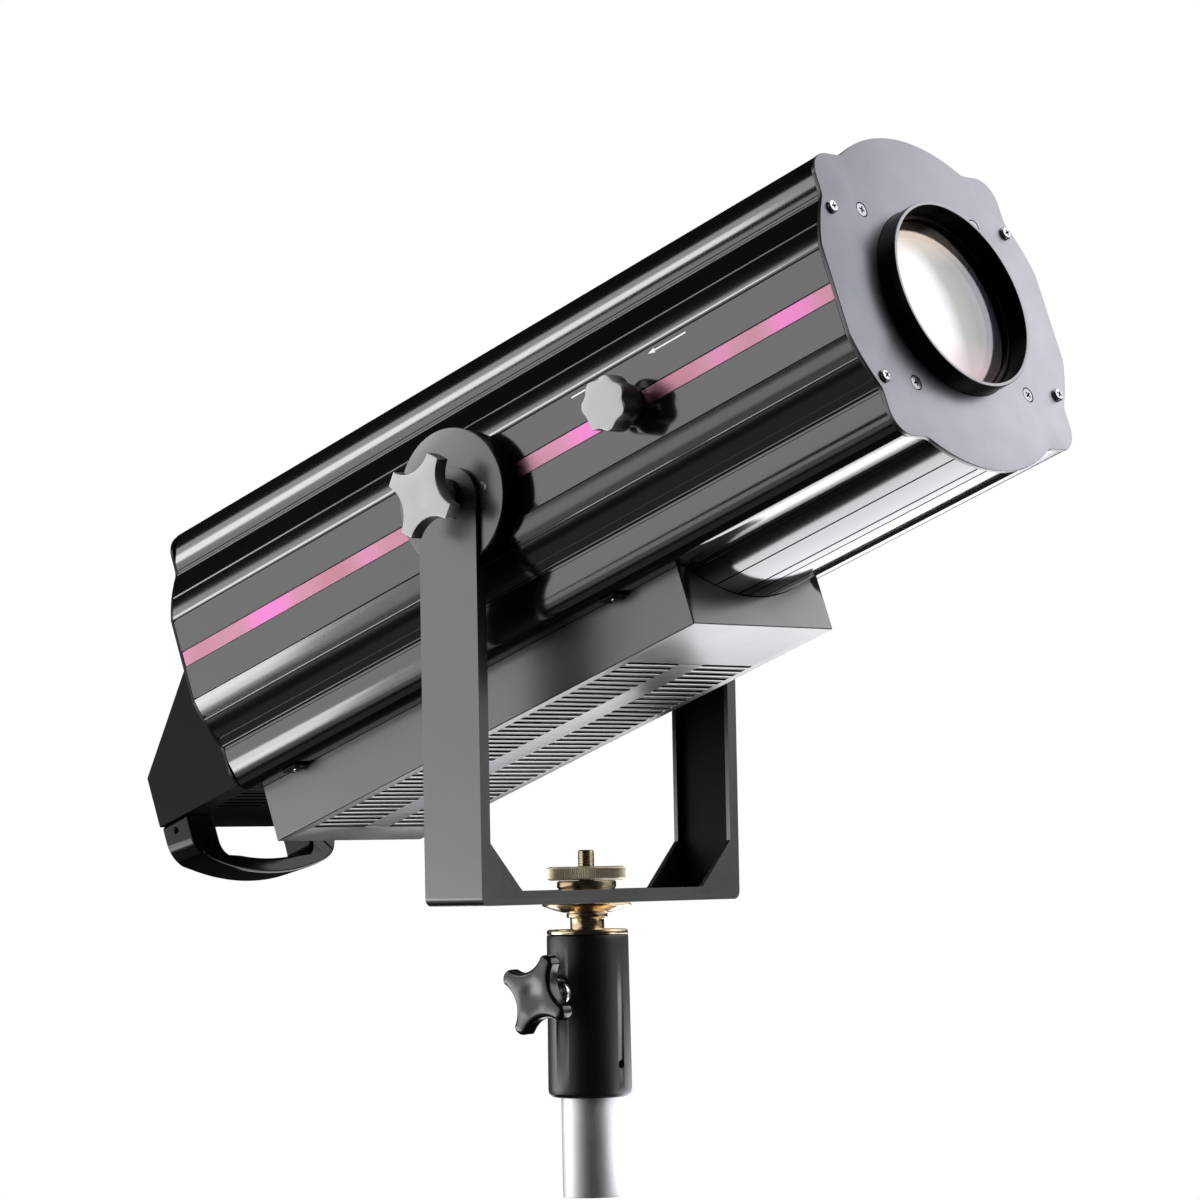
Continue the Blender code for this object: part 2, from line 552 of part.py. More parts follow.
def front(parent):
    a0 = A_FRONT + GAP
    a1 = a0 + PLATE_T
    out = outline(0.0)
    bore = circle(BARREL_R + 1.1 * GAP, 36)
    outer_sc = [(sy * PORT_Y, sv * PORT_V) for sy in (1, -1) for sv in (1, -1)]
    inner_sc = [(sy * INNER_SCREW, sv * INNER_SCREW) for sy in (1, -1) for sv in (1, -1)]
    back = [out, bore] + [circle(2.25 * MM, 12, *c) for c in outer_sc + inner_sc]
    face = [out, bore] + [circle(2.25 * MM, 12, *c) for c in outer_sc] + [circle(4.4 * MM, 12, *c) for c in inner_sc]
    make("front_plate", plate(back, a0, a1, face), mat("plate", "front_plate"), parent, SEC)

    pan_head = [(0, a1 + 2.5 * MM), (1.9 * MM, a1 + 2.3 * MM), (3.3 * MM, a1 + 1.5 * MM), (3.9 * MM, a1 + GAP),
                (1.95 * MM, a1 + GAP), (1.95 * MM, a1 - 13 * MM), (0, a1 - 13 * MM)]
    sunk_head = [(0, a1 + 0.2 * MM), (4.0 * MM, a1 - 0.1 * MM), (1.95 * MM, a1 - 2.4 * MM),
                 (1.95 * MM, a1 - 7.5 * MM), (0, a1 - 7.5 * MM)]
    for group, head, where in (("plate_screw", pan_head, outer_sc), ("flange_screw", sunk_head, inner_sc)):
        for i, (y, v) in enumerate(where):
            name = group + "_" + ("upper" if v > 0 else "lower") + ("_far" if y > 0 else "_near")
            make(name, lathe(head, 10), mat("chrome", name), parent,
                 Matrix.Translation((0, y, v)) @ ALONG)

    # lens barrel: hood in front, mounting flange behind the plate, seat for the lens
    f1 = A_FRONT - GAP
    f0 = f1 - 3.0 * MM
    seat = a1 - 8.0 * MM
    bar = make("lens_barrel", lathe([
        (BARREL_IN + 0.6 * MM, a1 + BARREL_OUT), (BARREL_R - 0.4 * MM, a1 + BARREL_OUT),
        (BARREL_R, a1 + BARREL_OUT - 0.8 * MM), (BARREL_R, f1), (79.0 * MM, f1), (79.0 * MM, f0),
        (BARREL_R, f0), (BARREL_R, f0 - 12 * MM), (49.0 * MM, f0 - 12 * MM), (49.0 * MM, seat),
        (BARREL_IN, seat), (BARREL_IN, a1 + BARREL_OUT - 0.8 * MM)], 36),
        mat("black", "lens_barrel"), parent, ALONG, angle=35)
    bm = bmesh.new()
    for y, v in inner_sc:
        slab(bm, [circle(2.25 * MM, 12, y, v)], f0 - 5 * MM, f1 + 5 * MM)
    for s in (1, -1):
        slab(bm, [circle(ROD_R + 0.15 * MM, 12, s * ROD_Y, ROD_V)], f0 - 2 * MM, f0 + 1.6 * MM)
    cut = make("cut_barrel_holes", bm, None, parent, SEC)
    boolean(bar, cut, 'DIFFERENCE')

    edge = seat + GAP
    shoulder = edge + 4.0 * MM
    rs = (LENS_R ** 2 + LENS_SAG ** 2) / (2 * LENS_SAG)
    prof = [(0.0, edge)] + [(LENS_R, edge), (LENS_R, shoulder)]
    n = 5
    for i in range(1, n + 1):
        r = LENS_R * (1 - i / n)
        prof.append((r, shoulder + LENS_SAG - (rs - math.sqrt(rs * rs - r * r))))
    make("front_lens", lathe(prof, 36), mat("glass", "front_lens"), parent, ALONG)
    zr = shoulder + 2.0 * MM
    make("lens_retaining_ring", lathe([
        (BARREL_IN - GAP, zr + 2.6 * MM), (BARREL_IN - GAP, zr - 1.4 * MM), (53.9 * MM, zr - 0.9 * MM),
        (52.9 * MM, zr + 0.2 * MM), (52.9 * MM, zr + 2.6 * MM)], 36), mat("plastic", "lens_retaining_ring"),
        parent, ALONG)


def tilt_pivots(parent):
    """On each side: a hub with its stud, a friction disc and a clamping knob."""
    y0 = FLAT - INSET + GAP
    y2 = YOKE_HALF - YOKE_T - GAP
    y1 = y2 - DISC_T
    b = TILT_STUD_R + 0.4 * MM
    foot = YOKE_HALF + GAP
    face = 141.5 * MM
    arm_t = 9.0 * MM
    pts = star(4, 25.6 * MM, 15.2 * MM, 9.2 * MM, -14.0)
    # the knobs' build axes look outward, x forward on the near side and back on
    # the far side; they stand upright in the world, so the lamp's tilt is taken out
    near = Matrix(((1, 0, 0, 0), (0, 0, -1, 0), (0, 1, 0, 0), (0, 0, 0, 1)))
    far = Matrix(((-1, 0, 0, 0), (0, 0, 1, 0), (0, 1, 0, 0), (0, 0, 0, 1)))
    level = math.radians(TILT_DEG)
    for side, out, f, turn in (("near", '-Y', near, -level), ("far", '+Y', far, level)):
        name = "pivot_hub_" + side
        make(name, lathe([
            (0, face - 3.5 * MM), (TILT_STUD_R - 0.8 * MM, face - 3.5 * MM), (TILT_STUD_R, face - 4.3 * MM),
            (TILT_STUD_R, y1 - GAP), (39.5 * MM, y1 - GAP), (40.0 * MM, y1 - 0.8 * MM), (40.0 * MM, y0),
            (TILT_NECK_R, y0), (TILT_NECK_R, 84.0 * MM), (0, 84.0 * MM)], 24), mat("plastic", name), parent,
            axis_frame(out))
        name = "friction_disc_" + side
        make(name, lathe([(DISC_R - 0.4 * MM, y2), (DISC_R, y2 - 0.4 * MM), (DISC_R, y1), (b, y1), (b, y2)], 28),
             mat("alu", name), parent, axis_frame(out))
        c, s = math.cos(turn), math.sin(turn)
        p = [(x * c - y * s, x * s + y * c) for x, y in pts]
        clamp_knob("tilt_knob_" + side, f @ Matrix.Translation((0, 0, foot)), parent, arm_t, 11.0 * MM,
                   face - foot - arm_t, p, TILT_STUD_R + 0.25 * MM, face - foot - 3.0 * MM)


def tray(parent):
    """Folded tray under the housing, with two columns of cross slots."""
    bm = bmesh.new()
    x0, x1, y, z0, z1 = TRAY_A0, TRAY_A1, TRAY_HALF, TRAY_LOW, -(LOBE_TOP - INSET) - GAP
    t = TRAY_T
    slots = []
    for i in range(SLOT_N):
        a = SLOT_A0 + (SLOT_A1 - SLOT_A0) * i / (SLOT_N - 1)
        for s in (-1, 1):
            ya, yb = sorted((s * SLOT_Y0, s * SLOT_Y1))
            slots.append(rect(a - SLOT_W / 2, ya, a + SLOT_W / 2, yb))
    outer, inner = rect(x0, -y, x1, y), rect(x0 + t, -y + t, x1 - t, y - t)
    low = [[bm.verts.new((*p, z0)) for p in lp] for lp in [outer] + slots]
    high = [[bm.verts.new((*p, z0 + t)) for p in lp] for lp in [inner] + slots]
    cap(bm, low)
    cap(bm, high)
    for a, b in list(zip(low, high))[1:]:
        for i in range(4):
            bm.faces.new((a[i], a[(i + 1) % 4], b[(i + 1) % 4], b[i]))
    rim_o = [bm.verts.new((*p, z1)) for p in outer]
    rim_i = [bm.verts.new((*p, z1)) for p in inner]
    for i in range(4):
        j = (i + 1) % 4
        bm.faces.new((low[0][i], low[0][j], rim_o[j], rim_o[i]))
        bm.faces.new((high[0][i], high[0][j], rim_i[j], rim_i[i]))
        bm.faces.new((rim_o[i], rim_o[j], rim_i[j], rim_i[i]))
    ob = make("psu_cover", bm, mat("black", "psu_cover"), parent)
    cut = make("cut_tray_ends", plate([circle(BODY_R - INSET + 0.45 * MM, 72, 0, BODY_C)], x0 - 5 * MM, x1 + 5 * MM),
               None, parent, SEC)
    boolean(ob, cut, 'DIFFERENCE')
    # four tabs turned out under the corner lobes take the screws
    tabs = bmesh.new()
    for a in (-215 * MM, 60 * MM):
        for s in (-1, 1):
            ya, yb = sorted((s * (y - 0.6 * MM), s * 76 * MM))
            add(tabs, plate([rect(a - 7 * MM, ya, a + 7 * MM, yb)], z1 - t, z1 - 0.05 * MM))
    tool = make("join_tray_tabs", tabs, None, parent)
    boolean(ob, tool, 'UNION')

    # supply: closed case on the tray's floor, reaching up through the housing's window
    case = plate([rounded_rect(-205 * MM, -43 * MM, 40 * MM, 43 * MM, 3 * MM, 2)], z0 + t + GAP, -86 * MM)
    make("power_supply", case, mat("alu", "power_supply"), parent)


def slope_frame():
    """On the rear cover's sloping panel: x down the slope, y across, z outward."""
    top = Vector((A_REAR - 2.3 * MM, 0, SLOPE_TOP))
    low = Vector((COVER_BACK, 0, SLOPE_LOW))
    d = (low - top).normalized()
    y = Vector((0, -1, 0))
    n = d.cross(y)
    mid = (top + low) / 2
    m = Matrix((d, y, n)).transposed().to_4x4()
    return Matrix.Translation(mid) @ m


def rear_frame():
    """On the rear cover's upright face: x across, y up, z outward."""
    v = (SLOPE_LOW + COVER_LOW) / 2
    m = Matrix((Vector((0, -1, 0)), Vector((0, 0, 1)), Vector((-1, 0, 0)))).transposed().to_4x4()
    return Matrix.Translation((COVER_BACK, 0, v)) @ m


def rear(parent):
    a1 = A_REAR - GAP
    a0 = a1 - 2.0 * MM
    loops = [outline(INSET)]
    # exhaust slots above the cover, and one large opening behind it
    for i in range(5):
        v = 44 * MM + i * 9 * MM
        half = 44 * MM if v < 70 * MM else 30 * MM
        loops.append(rounded_rect(-half, v, half, v + 4 * MM, 1.9 * MM, 2))
    loops.append(rounded_rect(-60 * MM, -70 * MM, 60 * MM, 12 * MM, 6 * MM, 2))
    make("rear_plate", plate(loops, a0, a1), mat("plate", "rear_plate"), parent, SEC)

    a = a0 - GAP
    b = COVER_BACK
    t = COVER_T
    side = [(a, SLOPE_TOP), (b, SLOPE_LOW), (b, COVER_LOW), (a, COVER_LOW)]
    k = (SLOPE_TOP - SLOPE_LOW) / (a - b)
    up = t * math.sqrt(1 + k * k)
    inner = [(a + 5 * MM, SLOPE_TOP - up + k * 5 * MM), (b + t, SLOPE_LOW - up + k * t),
             (b + t, COVER_LOW + t), (a + 5 * MM, COVER_LOW + t)]
    ob = make("rear_cover", plate([side], -COVER_HALF, COVER_HALF), mat("black", "rear_cover"), parent, SIDE)
    hollow = plate([inner], -COVER_HALF + t, COVER_HALF - t)
    cut = make("cut_cover_inside", hollow, None, parent, SIDE)
    boolean(ob, cut, 'DIFFERENCE')
    sf, rf = slope_frame(), rear_frame()
    cut = make("cut_panel_window", plate([rect(-28 * MM, -52 * MM, 28 * MM, 52 * MM)], -8 * MM, 8 * MM), None,
               parent, sf)
    boolean(ob, cut, 'DIFFERENCE')
    holes = plate([rect(-7 * MM, -13.2 * MM, 50 * MM, 13.2 * MM)], -8 * MM, 8 * MM)
    for x in (-24 * MM, -50 * MM):
        slab(holes, [circle(12.2 * MM, 16, x, 0)], -8 * MM, 8 * MM)
    cut = make("cut_socket_windows", holes, None, parent, rf)
    boolean(ob, cut, 'DIFFERENCE')
    vents = bmesh.new()
    for i in range(9):
        for s in (-1, 1):
            ya, yb = sorted((s * 12 * MM, s * 50 * MM))
            x = -307 * MM + i * 5.5 * MM
            slab(vents, [rect(x, ya, x + 2.6 * MM, yb)], COVER_LOW - 5 * MM, COVER_LOW + 5 * MM)
    cut = make("cut_cover_vents", vents, None, parent)
    boolean(ob, cut, 'DIFFERENCE')

    # handle hung under the cover's rear edge: two uprights joined by a bowed grip
    top, ri, ih = COVER_LOW - GAP, 150 * MM, 40.7 * MM

    def loop(low, corner):
        half = COVER_HALF - 1.2 * MM
        out = [(half, top)] + arc(half - corner, low + 26.2 * MM, corner, 0, -60, 5)
        ang = math.degrees(math.asin((half - corner + 4 * MM) / ri))
        out += arc(0, low + ri, ri, -90 + ang, -90, 5)
        out += [(-y, v) for y, v in reversed(out[:-1])]
        hole = [(ih, top)] + arc(ih - 10 * MM, -95.5 * MM, 10 * MM, 0, -62, 3)
        hole += arc(0, -107.1 * MM + ri, ri, -90 + math.degrees(math.asin(25 * MM / ri)), -90, 3)
        hole += [(-y, v) for y, v in reversed(hole[:-1])]
        return out + hole[::-1]
    f = Matrix.Translation((COVER_BACK, 0, 0)) @ SEC
    make("rear_handle", plate([loop(-114.6 * MM, 18.5 * MM)], 0.2 * MM, HANDLE_DEPTH, [loop(-117.6 * MM, 17.0 * MM)]),
         mat("plastic", "rear_handle"), parent, f)

    # control panel on the slope: plate, window, four buttons, board behind
    p0, p1 = GAP, 2.3 * MM
    btn_y = [-12 * MM + 17 * MM * i for i in range(4)]
    loops = [rounded_rect(-33 * MM, -60 * MM, 33 * MM, 60 * MM, 3 * MM, 2),
             rect(-17 * MM, -44 * MM, 3 * MM, 28 * MM)]
    loops += [circle(4.7 * MM, 12, 16 * MM, y) for y in [-39 * MM, -19.5 * MM, 4 * MM, 23.5 * MM]]
    make("control_panel", plate(loops, p0, p1), mat("plate", "control_panel"), parent, sf)
    make("display_window", plate([rect(-16.7 * MM, -43.7 * MM, 2.7 * MM, 27.7 * MM)], 0.4 * MM, 2.0 * MM),
         mat("glass", "display_window"), parent, sf)
    for name, y in zip(("button_menu", "button_down", "button_up", "button_enter"),
                       (-39 * MM, -19.5 * MM, 4 * MM, 23.5 * MM)):
        make(name, lathe([(0, 4.6 * MM), (3.4 * MM, 4.5 * MM), (4.2 * MM, 3.8 * MM), (4.2 * MM, -3.0 * MM),
                          (0, -3.0 * MM)], 10), mat("plastic", name), parent,
             sf @ Matrix.Translation((16 * MM, y, 0)))

    # mains inlet with its switch window, in one moulding
    bm = plate([rounded_rect(-9 * MM, -15.2 * MM, 52 * MM, 15.2 * MM, 3 * MM, 2)], GAP, 2.8 * MM)
    ob = make("power_inlet", bm, mat("plastic", "power_inlet"), parent, rf)
    tool = make("join_inlet_body", plate([rect(-6.5 * MM, -12.8 * MM, 49.5 * MM, 12.8 * MM)], -24 * MM, 1.5 * MM),
                None, parent, rf)
    boolean(ob, tool, 'UNION')
    pocket = plate([[(18 * MM, -9.5 * MM), (44 * MM, -9.5 * MM), (44 * MM, 4.5 * MM), (40 * MM, 9.5 * MM),
                     (22 * MM, 9.5 * MM), (18 * MM, 4.5 * MM)]], -17 * MM, 6 * MM)
    slab(pocket, [rect(-4.6 * MM, -10.6 * MM, 7.4 * MM, 10.6 * MM)], -13 * MM, 6 * MM)
    cut = make("cut_inlet_pockets", pocket, None, parent, rf)
    boolean(ob, cut, 'DIFFERENCE')
    # rocker: turns about the across axis in its window, shown in its off position
    tilt = math.radians(8)
    key = [(-9.7 * MM, -4 * MM), (9.7 * MM, -4 * MM), (9.7 * MM, 2.2 * MM), (0, 0.9 * MM), (-9.7 * MM, 2.2 * MM)]
    bm = plate([key], -5.6 * MM, 5.6 * MM)
    f = rf @ Matrix.Translation((1.4 * MM, 0, 1.2 * MM)) @ Matrix(((0, 0, 1, 0), (1, 0, 0, 0), (0, 1, 0, 0),
                                                                   (0, 0, 0, 1)))
    make("power_rocker", bm, mat("plastic", "power_rocker"), parent, f @ Matrix.Rotation(tilt, 4, 'Z'))

    # two round data sockets on one plate
    at = (-24 * MM, -50 * MM)
    bm = plate([rounded_rect(-63.5 * MM, -15.2 * MM, -11.0 * MM, 15.2 * MM, 3 * MM, 2)]
               + [circle(9.4 * MM, 16, x, 0) for x in at], GAP, 2.2 * MM)
    ob = make("data_sockets", bm, mat("black", "data_sockets"), parent, rf)
    bm = bmesh.new()
    for x in at:
        add(bm, lathe([(11.3 * MM, 1.2 * MM), (11.3 * MM, -22 * MM), (0, -22 * MM), (0, -9 * MM), (9.4 * MM, -9 * MM),
                       (9.4 * MM, 1.2 * MM)], 16), Matrix.Translation((x, 0, 0)))
    tool = make("join_socket_barrels", bm, None, parent, rf)
    boolean(ob, tool, 'UNION')


def engine(parent):
    """Heat sink, fan, light source, condenser and the guide rods."""
    # finned heat sink: comb section in (x, y), extruded along z
    fins, base0, base1, back = 11, -108 * MM, -100 * MM, -168 * MM
    half, t = 57 * MM, 2.0 * MM
    sec = [(base1, -half), (base1, half)]
    pitch = (2 * half - t) / (fins - 1)
    for i in range(fins):
        y = half - i * pitch
        sec += [(back, y), (back, y - t)]
        if i < fins - 1:
            sec += [(base0, y - t), (base0, y - pitch)]
    make("heat_sink", plate([sec], -57 * MM, 57 * MM), mat("alu", "heat_sink"), parent)

    # fan frame: square duct with a spoked hub on its rear side
    a1 = back - 0.5 * MM
    a0 = a1 - 25 * MM
    sq = rounded_rect(-59.5 * MM, -59.5 * MM, 59.5 * MM, 59.5 * MM, 5 * MM, 2)
    ob = make("fan_frame", plate([sq, circle(56 * MM, 28)], a0 + 0.05 * MM, a1), mat("plastic", "fan_frame"),
              parent, SEC)
    spokes = bmesh.new()
    for k in range(4):
        m = Matrix.Rotation(math.radians(45 + 90 * k), 4, 'Z')
        add(spokes, plate([rect(18 * MM, -3 * MM, 58.5 * MM, 3 * MM)], a0 + 0.5 * MM, a0 + 3.2 * MM), m)
    tool = make("join_fan_spokes", spokes, None, parent, SEC)
    boolean(ob, tool, 'UNION')
    tool = make("join_fan_hub", plate([circle(22 * MM, 20)], a0, a0 + 4 * MM), None, parent, SEC)
    boolean(ob, tool, 'UNION')
    # rotor: hub with seven pitched blades
    hub = [(0, 18.5 * MM), (19 * MM, 18.5 * MM), (20 * MM, 17.5 * MM), (20 * MM, 0), (0, 0)]
    f = Matrix.Translation((a0 + 5.0 * MM, 0, 0)) @ ALONG
    rot = make("fan_rotor", lathe(hub, 21), mat("plastic", "fan_rotor"), parent, f)
    blades = bmesh.new()
    for k in range(7):
        m = (Matrix.Rotation(2 * math.pi * k / 7, 4, 'Z') @ Matrix.Translation((0, 0, 9 * MM))
             @ Matrix.Rotation(math.radians(38), 4, 'X'))
        add(blades, box(17 * MM, -9 * MM, -0.8 * MM, 53.5 * MM, 9 * MM, 0.8 * MM), m)
    tool = make("join_fan_blades", blades, None, parent, f)
    boolean(rot, tool, 'UNION')

    # light source: round board with its emitter
    make("led_module", lathe([(0, 6.0 * MM), (12 * MM, 6.0 * MM), (13 * MM, 4.4 * MM), (30 * MM, 4.0 * MM), (30 * MM, 0),
                              (0, 0)], 16), mat("white", "led_module"), parent,
         Matrix.Translation((base1 + GAP, 0, 0)) @ ALONG)
    # carrier: round plate bolted to the sink, with the condenser's tube
    c0 = base1 + GAP
    ob = make("optics_plate", lathe([
        (92.5 * MM, c0), (92.5 * MM, c0 + 3 * MM), (39 * MM, c0 + 3 * MM), (37 * MM, c0 + 6 * MM), (37 * MM, c0 + 40 * MM),
        (34 * MM, c0 + 40 * MM), (34 * MM, c0 + 30 * MM), (31 * MM, c0 + 30 * MM), (31 * MM, c0)], 24),
        mat("alu", "optics_plate"), parent, ALONG)
    bm = bmesh.new()
    for s in (1, -1):
        slab(bm, [circle(ROD_R + 0.15 * MM, 12, s * ROD_Y, ROD_V)], c0 + 1.2 * MM, c0 + 6 * MM)
    slab(bm, [rect(-95 * MM, -98 * MM, 95 * MM, -81 * MM)], c0 - 5 * MM, c0 + 8 * MM)
    cut = make("cut_carrier_holes", bm, None, parent, SEC)
    boolean(ob, cut, 'DIFFERENCE')
    prof = [(0, c0 + 30.3 * MM), (33.7 * MM, c0 + 30.3 * MM), (33.7 * MM, c0 + 33 * MM)]
    rs = (33.7 ** 2 + 12 ** 2) / 24 * MM
    for i in range(1, 5):
        r = 33.7 * MM * (1 - i / 4)
        prof.append((r, c0 + 33 * MM + 12 * MM - (rs - math.sqrt(rs * rs - r * r))))
    make("condenser_lens", lathe(prof, 20), mat("glass", "condenser_lens"), parent, ALONG)

    # guide rods from the carrier to the barrel's flange
    f0 = A_FRONT - GAP - 3.0 * MM
    for name, s in (("guide_rod_near", -1), ("guide_rod_far", 1)):
        make(name, plate([circle(ROD_R, 12, s * ROD_Y, ROD_V)], c0 + 1.5 * MM, f0 + 1.3 * MM), mat("chrome", name),
             parent, SEC)


def focus(parent):
    """Lens carriage on the guide rods, with a rack; knob, shaft and pinion."""
    a = FOCUS_A
    half = 8 * MM
    f = Matrix.Translation((a, 0, 0)) @ SEC
    cell = circle(40.7 * MM, 28)
    # plate outline: ring round the lens with two ears that run on the rods
    ear = 9.0 * MM
    out = []
    out += arc(0, 0, 47 * MM, 198, -18, 18)[1:-1]
    out += arc(ROD_Y, ROD_V, ear, 40, -120, 5)
    out += [(30 * MM, -48 * MM), (-30 * MM, -48 * MM)]
    out += arc(-ROD_Y, ROD_V, ear, -60, -220, 5)
    loops = [out, cell, circle(ROD_R + 0.15 * MM, 12, ROD_Y, ROD_V), circle(ROD_R + 0.15 * MM, 12, -ROD_Y, ROD_V)]
    car = make("focus_carriage", plate(loops, -half, half), mat("black", "focus_carriage"), parent, f)

    # rack: teeth up, on a bar held out beside the ring; pitch line one pinion radius down
    module = 2 * PINION_R / TOOTH
    pitch = math.pi * module
    teeth = 23
    y0, y1 = -74 * MM, -64 * MM
    line = -PINION_R
    x0 = -teeth / 2 * pitch
    prof = [(x0, line - 8 * MM), (-x0, line - 8 * MM)]
    add_h, ded_h, play = 0.8 * module, 1.25 * module, 0.3 * MM
    for i in reversed(range(teeth)):
        # a tooth space is centred under the pinion at rest
        cx = x0 + (i + 0.5) * pitch + pitch / 2 * (1 if teeth % 2 else 0)
        wt, wb = pitch / 4 - add_h * 0.36 - play / 2, pitch / 4 + ded_h * 0.36 - play / 2
        if cx + wb > -x0:
            continue
        prof += [(cx + wb, line - ded_h), (cx + wt, line + add_h), (cx - wt, line + add_h), (cx - wb, line - ded_h)]
    prof += [(x0, line - ded_h)]
    side = Matrix.Translation((a, 0, 0)) @ SIDE
    tool = make("join_rack", plate([prof], -y1, -y0), None, parent, side)
    boolean(car, tool, 'UNION')
    arm = make("join_rack_arm", box(a - half + 0.5 * MM, -70 * MM, line - 15 * MM, a + half - 0.5 * MM, -41.5 * MM,
                                    line - 5 * MM), None, parent)
    boolean(car, arm, 'UNION')
    rs = (40.2 ** 2 + 9 ** 2) / 18 * MM
    prof = [(0, -3 * MM), (40.2 * MM, -3 * MM), (40.2 * MM, 0)]
    for i in range(1, 5):
        r = 40.2 * MM * (1 - i / 4)
        prof.append((r, 9 * MM - (rs - math.sqrt(rs * rs - r * r))))
    make("focus_lens", lathe(prof, 28), mat("glass", "focus_lens"), parent, Matrix.Translation((a, 0, 0)) @ ALONG)

    # shaft with its pinion, turned about the across axis
    # (build axes: x forward, y up, z outward to the near side)
    out_y = Matrix.Translation((a, 0, 0)) @ SIDE
    teeth_pts = []
    for i in range(TOOTH):
        c = 2 * math.pi * (i + 0.5) / TOOTH - math.pi / 2 + math.pi / TOOTH
        wt, wb = (pitch / 4 - add_h * 0.36 - play / 2), (pitch / 4 + ded_h * 0.36 - play / 2)
        rt, rb = PINION_R + add_h, PINION_R - ded_h
        for r, w in ((rb, -wb), (rt, -wt), (rt, wt), (rb, wb)):
            teeth_pts.append((r * math.cos(c + w / r), r * math.sin(c + w / r)))
    make("focus_shaft", plate([teeth_pts], 64.3 * MM, 73.7 * MM), mat("chrome", "focus_shaft"), parent, out_y)
    sh = bpy.data.objects["focus_shaft"]
    tool = make("join_focus_shaft", lathe([(0, 118 * MM), (4.0 * MM, 118 * MM), (4.0 * MM, 75 * MM), (6.5 * MM, 75 * MM),
                                           (6.5 * MM, 73.2 * MM), (5 * MM, 62 * MM), (0, 62 * MM)], 16),
                None, parent, out_y)
    boolean(sh, tool, 'UNION')
    pts = scallop(7, 16.6 * MM, 2.0 * MM, 12)
    z = FLAT - INSET + 1.2 * MM
    bm = bmesh.new()
    inner = [(x * 0.9, y * 0.9) for x, y in pts]
    n = len(pts)
    h = 22.5 * MM
    rings = [[bm.verts.new((x, y, hh)) for x, y in p] for p, hh in (
        (circle(11.0 * MM, n, 0, 0, math.radians(12)), 0.0),
        ([(x * 0.86, y * 0.86) for x, y in pts], 5 * MM), (pts, 9 * MM), (pts, h - 2 * MM), (inner, h))]
    for r0, r1 in zip(rings, rings[1:]):
        for i in range(n):
            j = (i + 1) % n
            bm.faces.new((r0[i], r0[j], r1[j], r1[i]))
    top = bm.verts.new((0, 0, h))
    for i in range(n):
        bm.faces.new((rings[-1][i], rings[-1][(i + 1) % n], top))
    mouth = [bm.verts.new((x, y, 0)) for x, y in circle(4.3 * MM, 14)]
    cap(bm, [rings[0], mouth])
    end = [bm.verts.new((x, y, 18.8 * MM)) for x, y in circle(4.3 * MM, 14)]
    for i in range(14):
        bm.faces.new((mouth[i], mouth[(i + 1) % 14], end[(i + 1) % 14], end[i]))
    bm.faces.new(end)
    make("focus_knob", bm, mat("plastic", "focus_knob"), parent, out_y @ Matrix.Translation((0, 0, z)), angle=40)


# ============================================================ assembly
stand_head()
socket_clamp()
pan = empty("pan_axis", Matrix.Identity(4))
spigot_parts(pan)
yoke(pan)
lamp = empty("tilt_axis", Matrix.Translation((0, 0, PIVOT_Z))
             @ Matrix.Rotation(-math.radians(TILT_DEG), 4, 'Y'), pan)
housing(lamp)
front(lamp)
tilt_pivots(lamp)
tray(lamp)
rear(lamp)
engine(lamp)
focus(lamp)
bpy.context.view_layer.update()
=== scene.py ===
import math

import bmesh
import bpy
from mathutils import Matrix, Vector


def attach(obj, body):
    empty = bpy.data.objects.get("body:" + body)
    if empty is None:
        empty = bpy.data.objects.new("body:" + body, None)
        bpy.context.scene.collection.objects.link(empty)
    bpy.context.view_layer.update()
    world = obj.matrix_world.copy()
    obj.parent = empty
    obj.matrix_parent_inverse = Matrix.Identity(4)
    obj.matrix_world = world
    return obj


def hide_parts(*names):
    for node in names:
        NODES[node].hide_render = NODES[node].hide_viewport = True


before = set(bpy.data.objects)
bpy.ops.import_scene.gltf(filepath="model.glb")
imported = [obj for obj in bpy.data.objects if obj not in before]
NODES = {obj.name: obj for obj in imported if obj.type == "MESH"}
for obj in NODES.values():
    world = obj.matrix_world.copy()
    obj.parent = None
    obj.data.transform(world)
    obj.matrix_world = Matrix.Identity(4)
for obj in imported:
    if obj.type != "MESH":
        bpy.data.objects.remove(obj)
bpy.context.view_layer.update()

MM = 0.001
GAP = 0.3 * MM

# ------------------------------------------------------------ sizes shared with the model
TILT = math.radians(19.36)
YOKE_Z = 175.0 * MM
PIVOT_Z = YOKE_Z + 238.3 * MM
BODY_R, BODY_C = 105.0 * MM, 1.7 * MM
FLAT, LOBE, LOBE_TOP, LOBE_CORNER = 101.0 * MM, 86.0 * MM, 86.3 * MM, 15.5 * MM
INSET, WALL = 0.6 * MM, 2.2 * MM
A_REAR, A_FRONT, PLATE_T = -254.0 * MM, 289.9 * MM, 3.0 * MM
SPLIT_V = 60.0 * MM
YOKE_HALF, YOKE_W, YOKE_T, FLANGE = 117.9 * MM, 22.5 * MM, 3.0 * MM, 8.0 * MM
COVER_BACK, COVER_LOW, COVER_HALF, COVER_T = -344.8 * MM, -77.3 * MM, 65.5 * MM, 1.5 * MM
SLOPE_TOP, SLOPE_LOW = 39.1 * MM, -43.9 * MM
FOCUS_A = 134.0 * MM

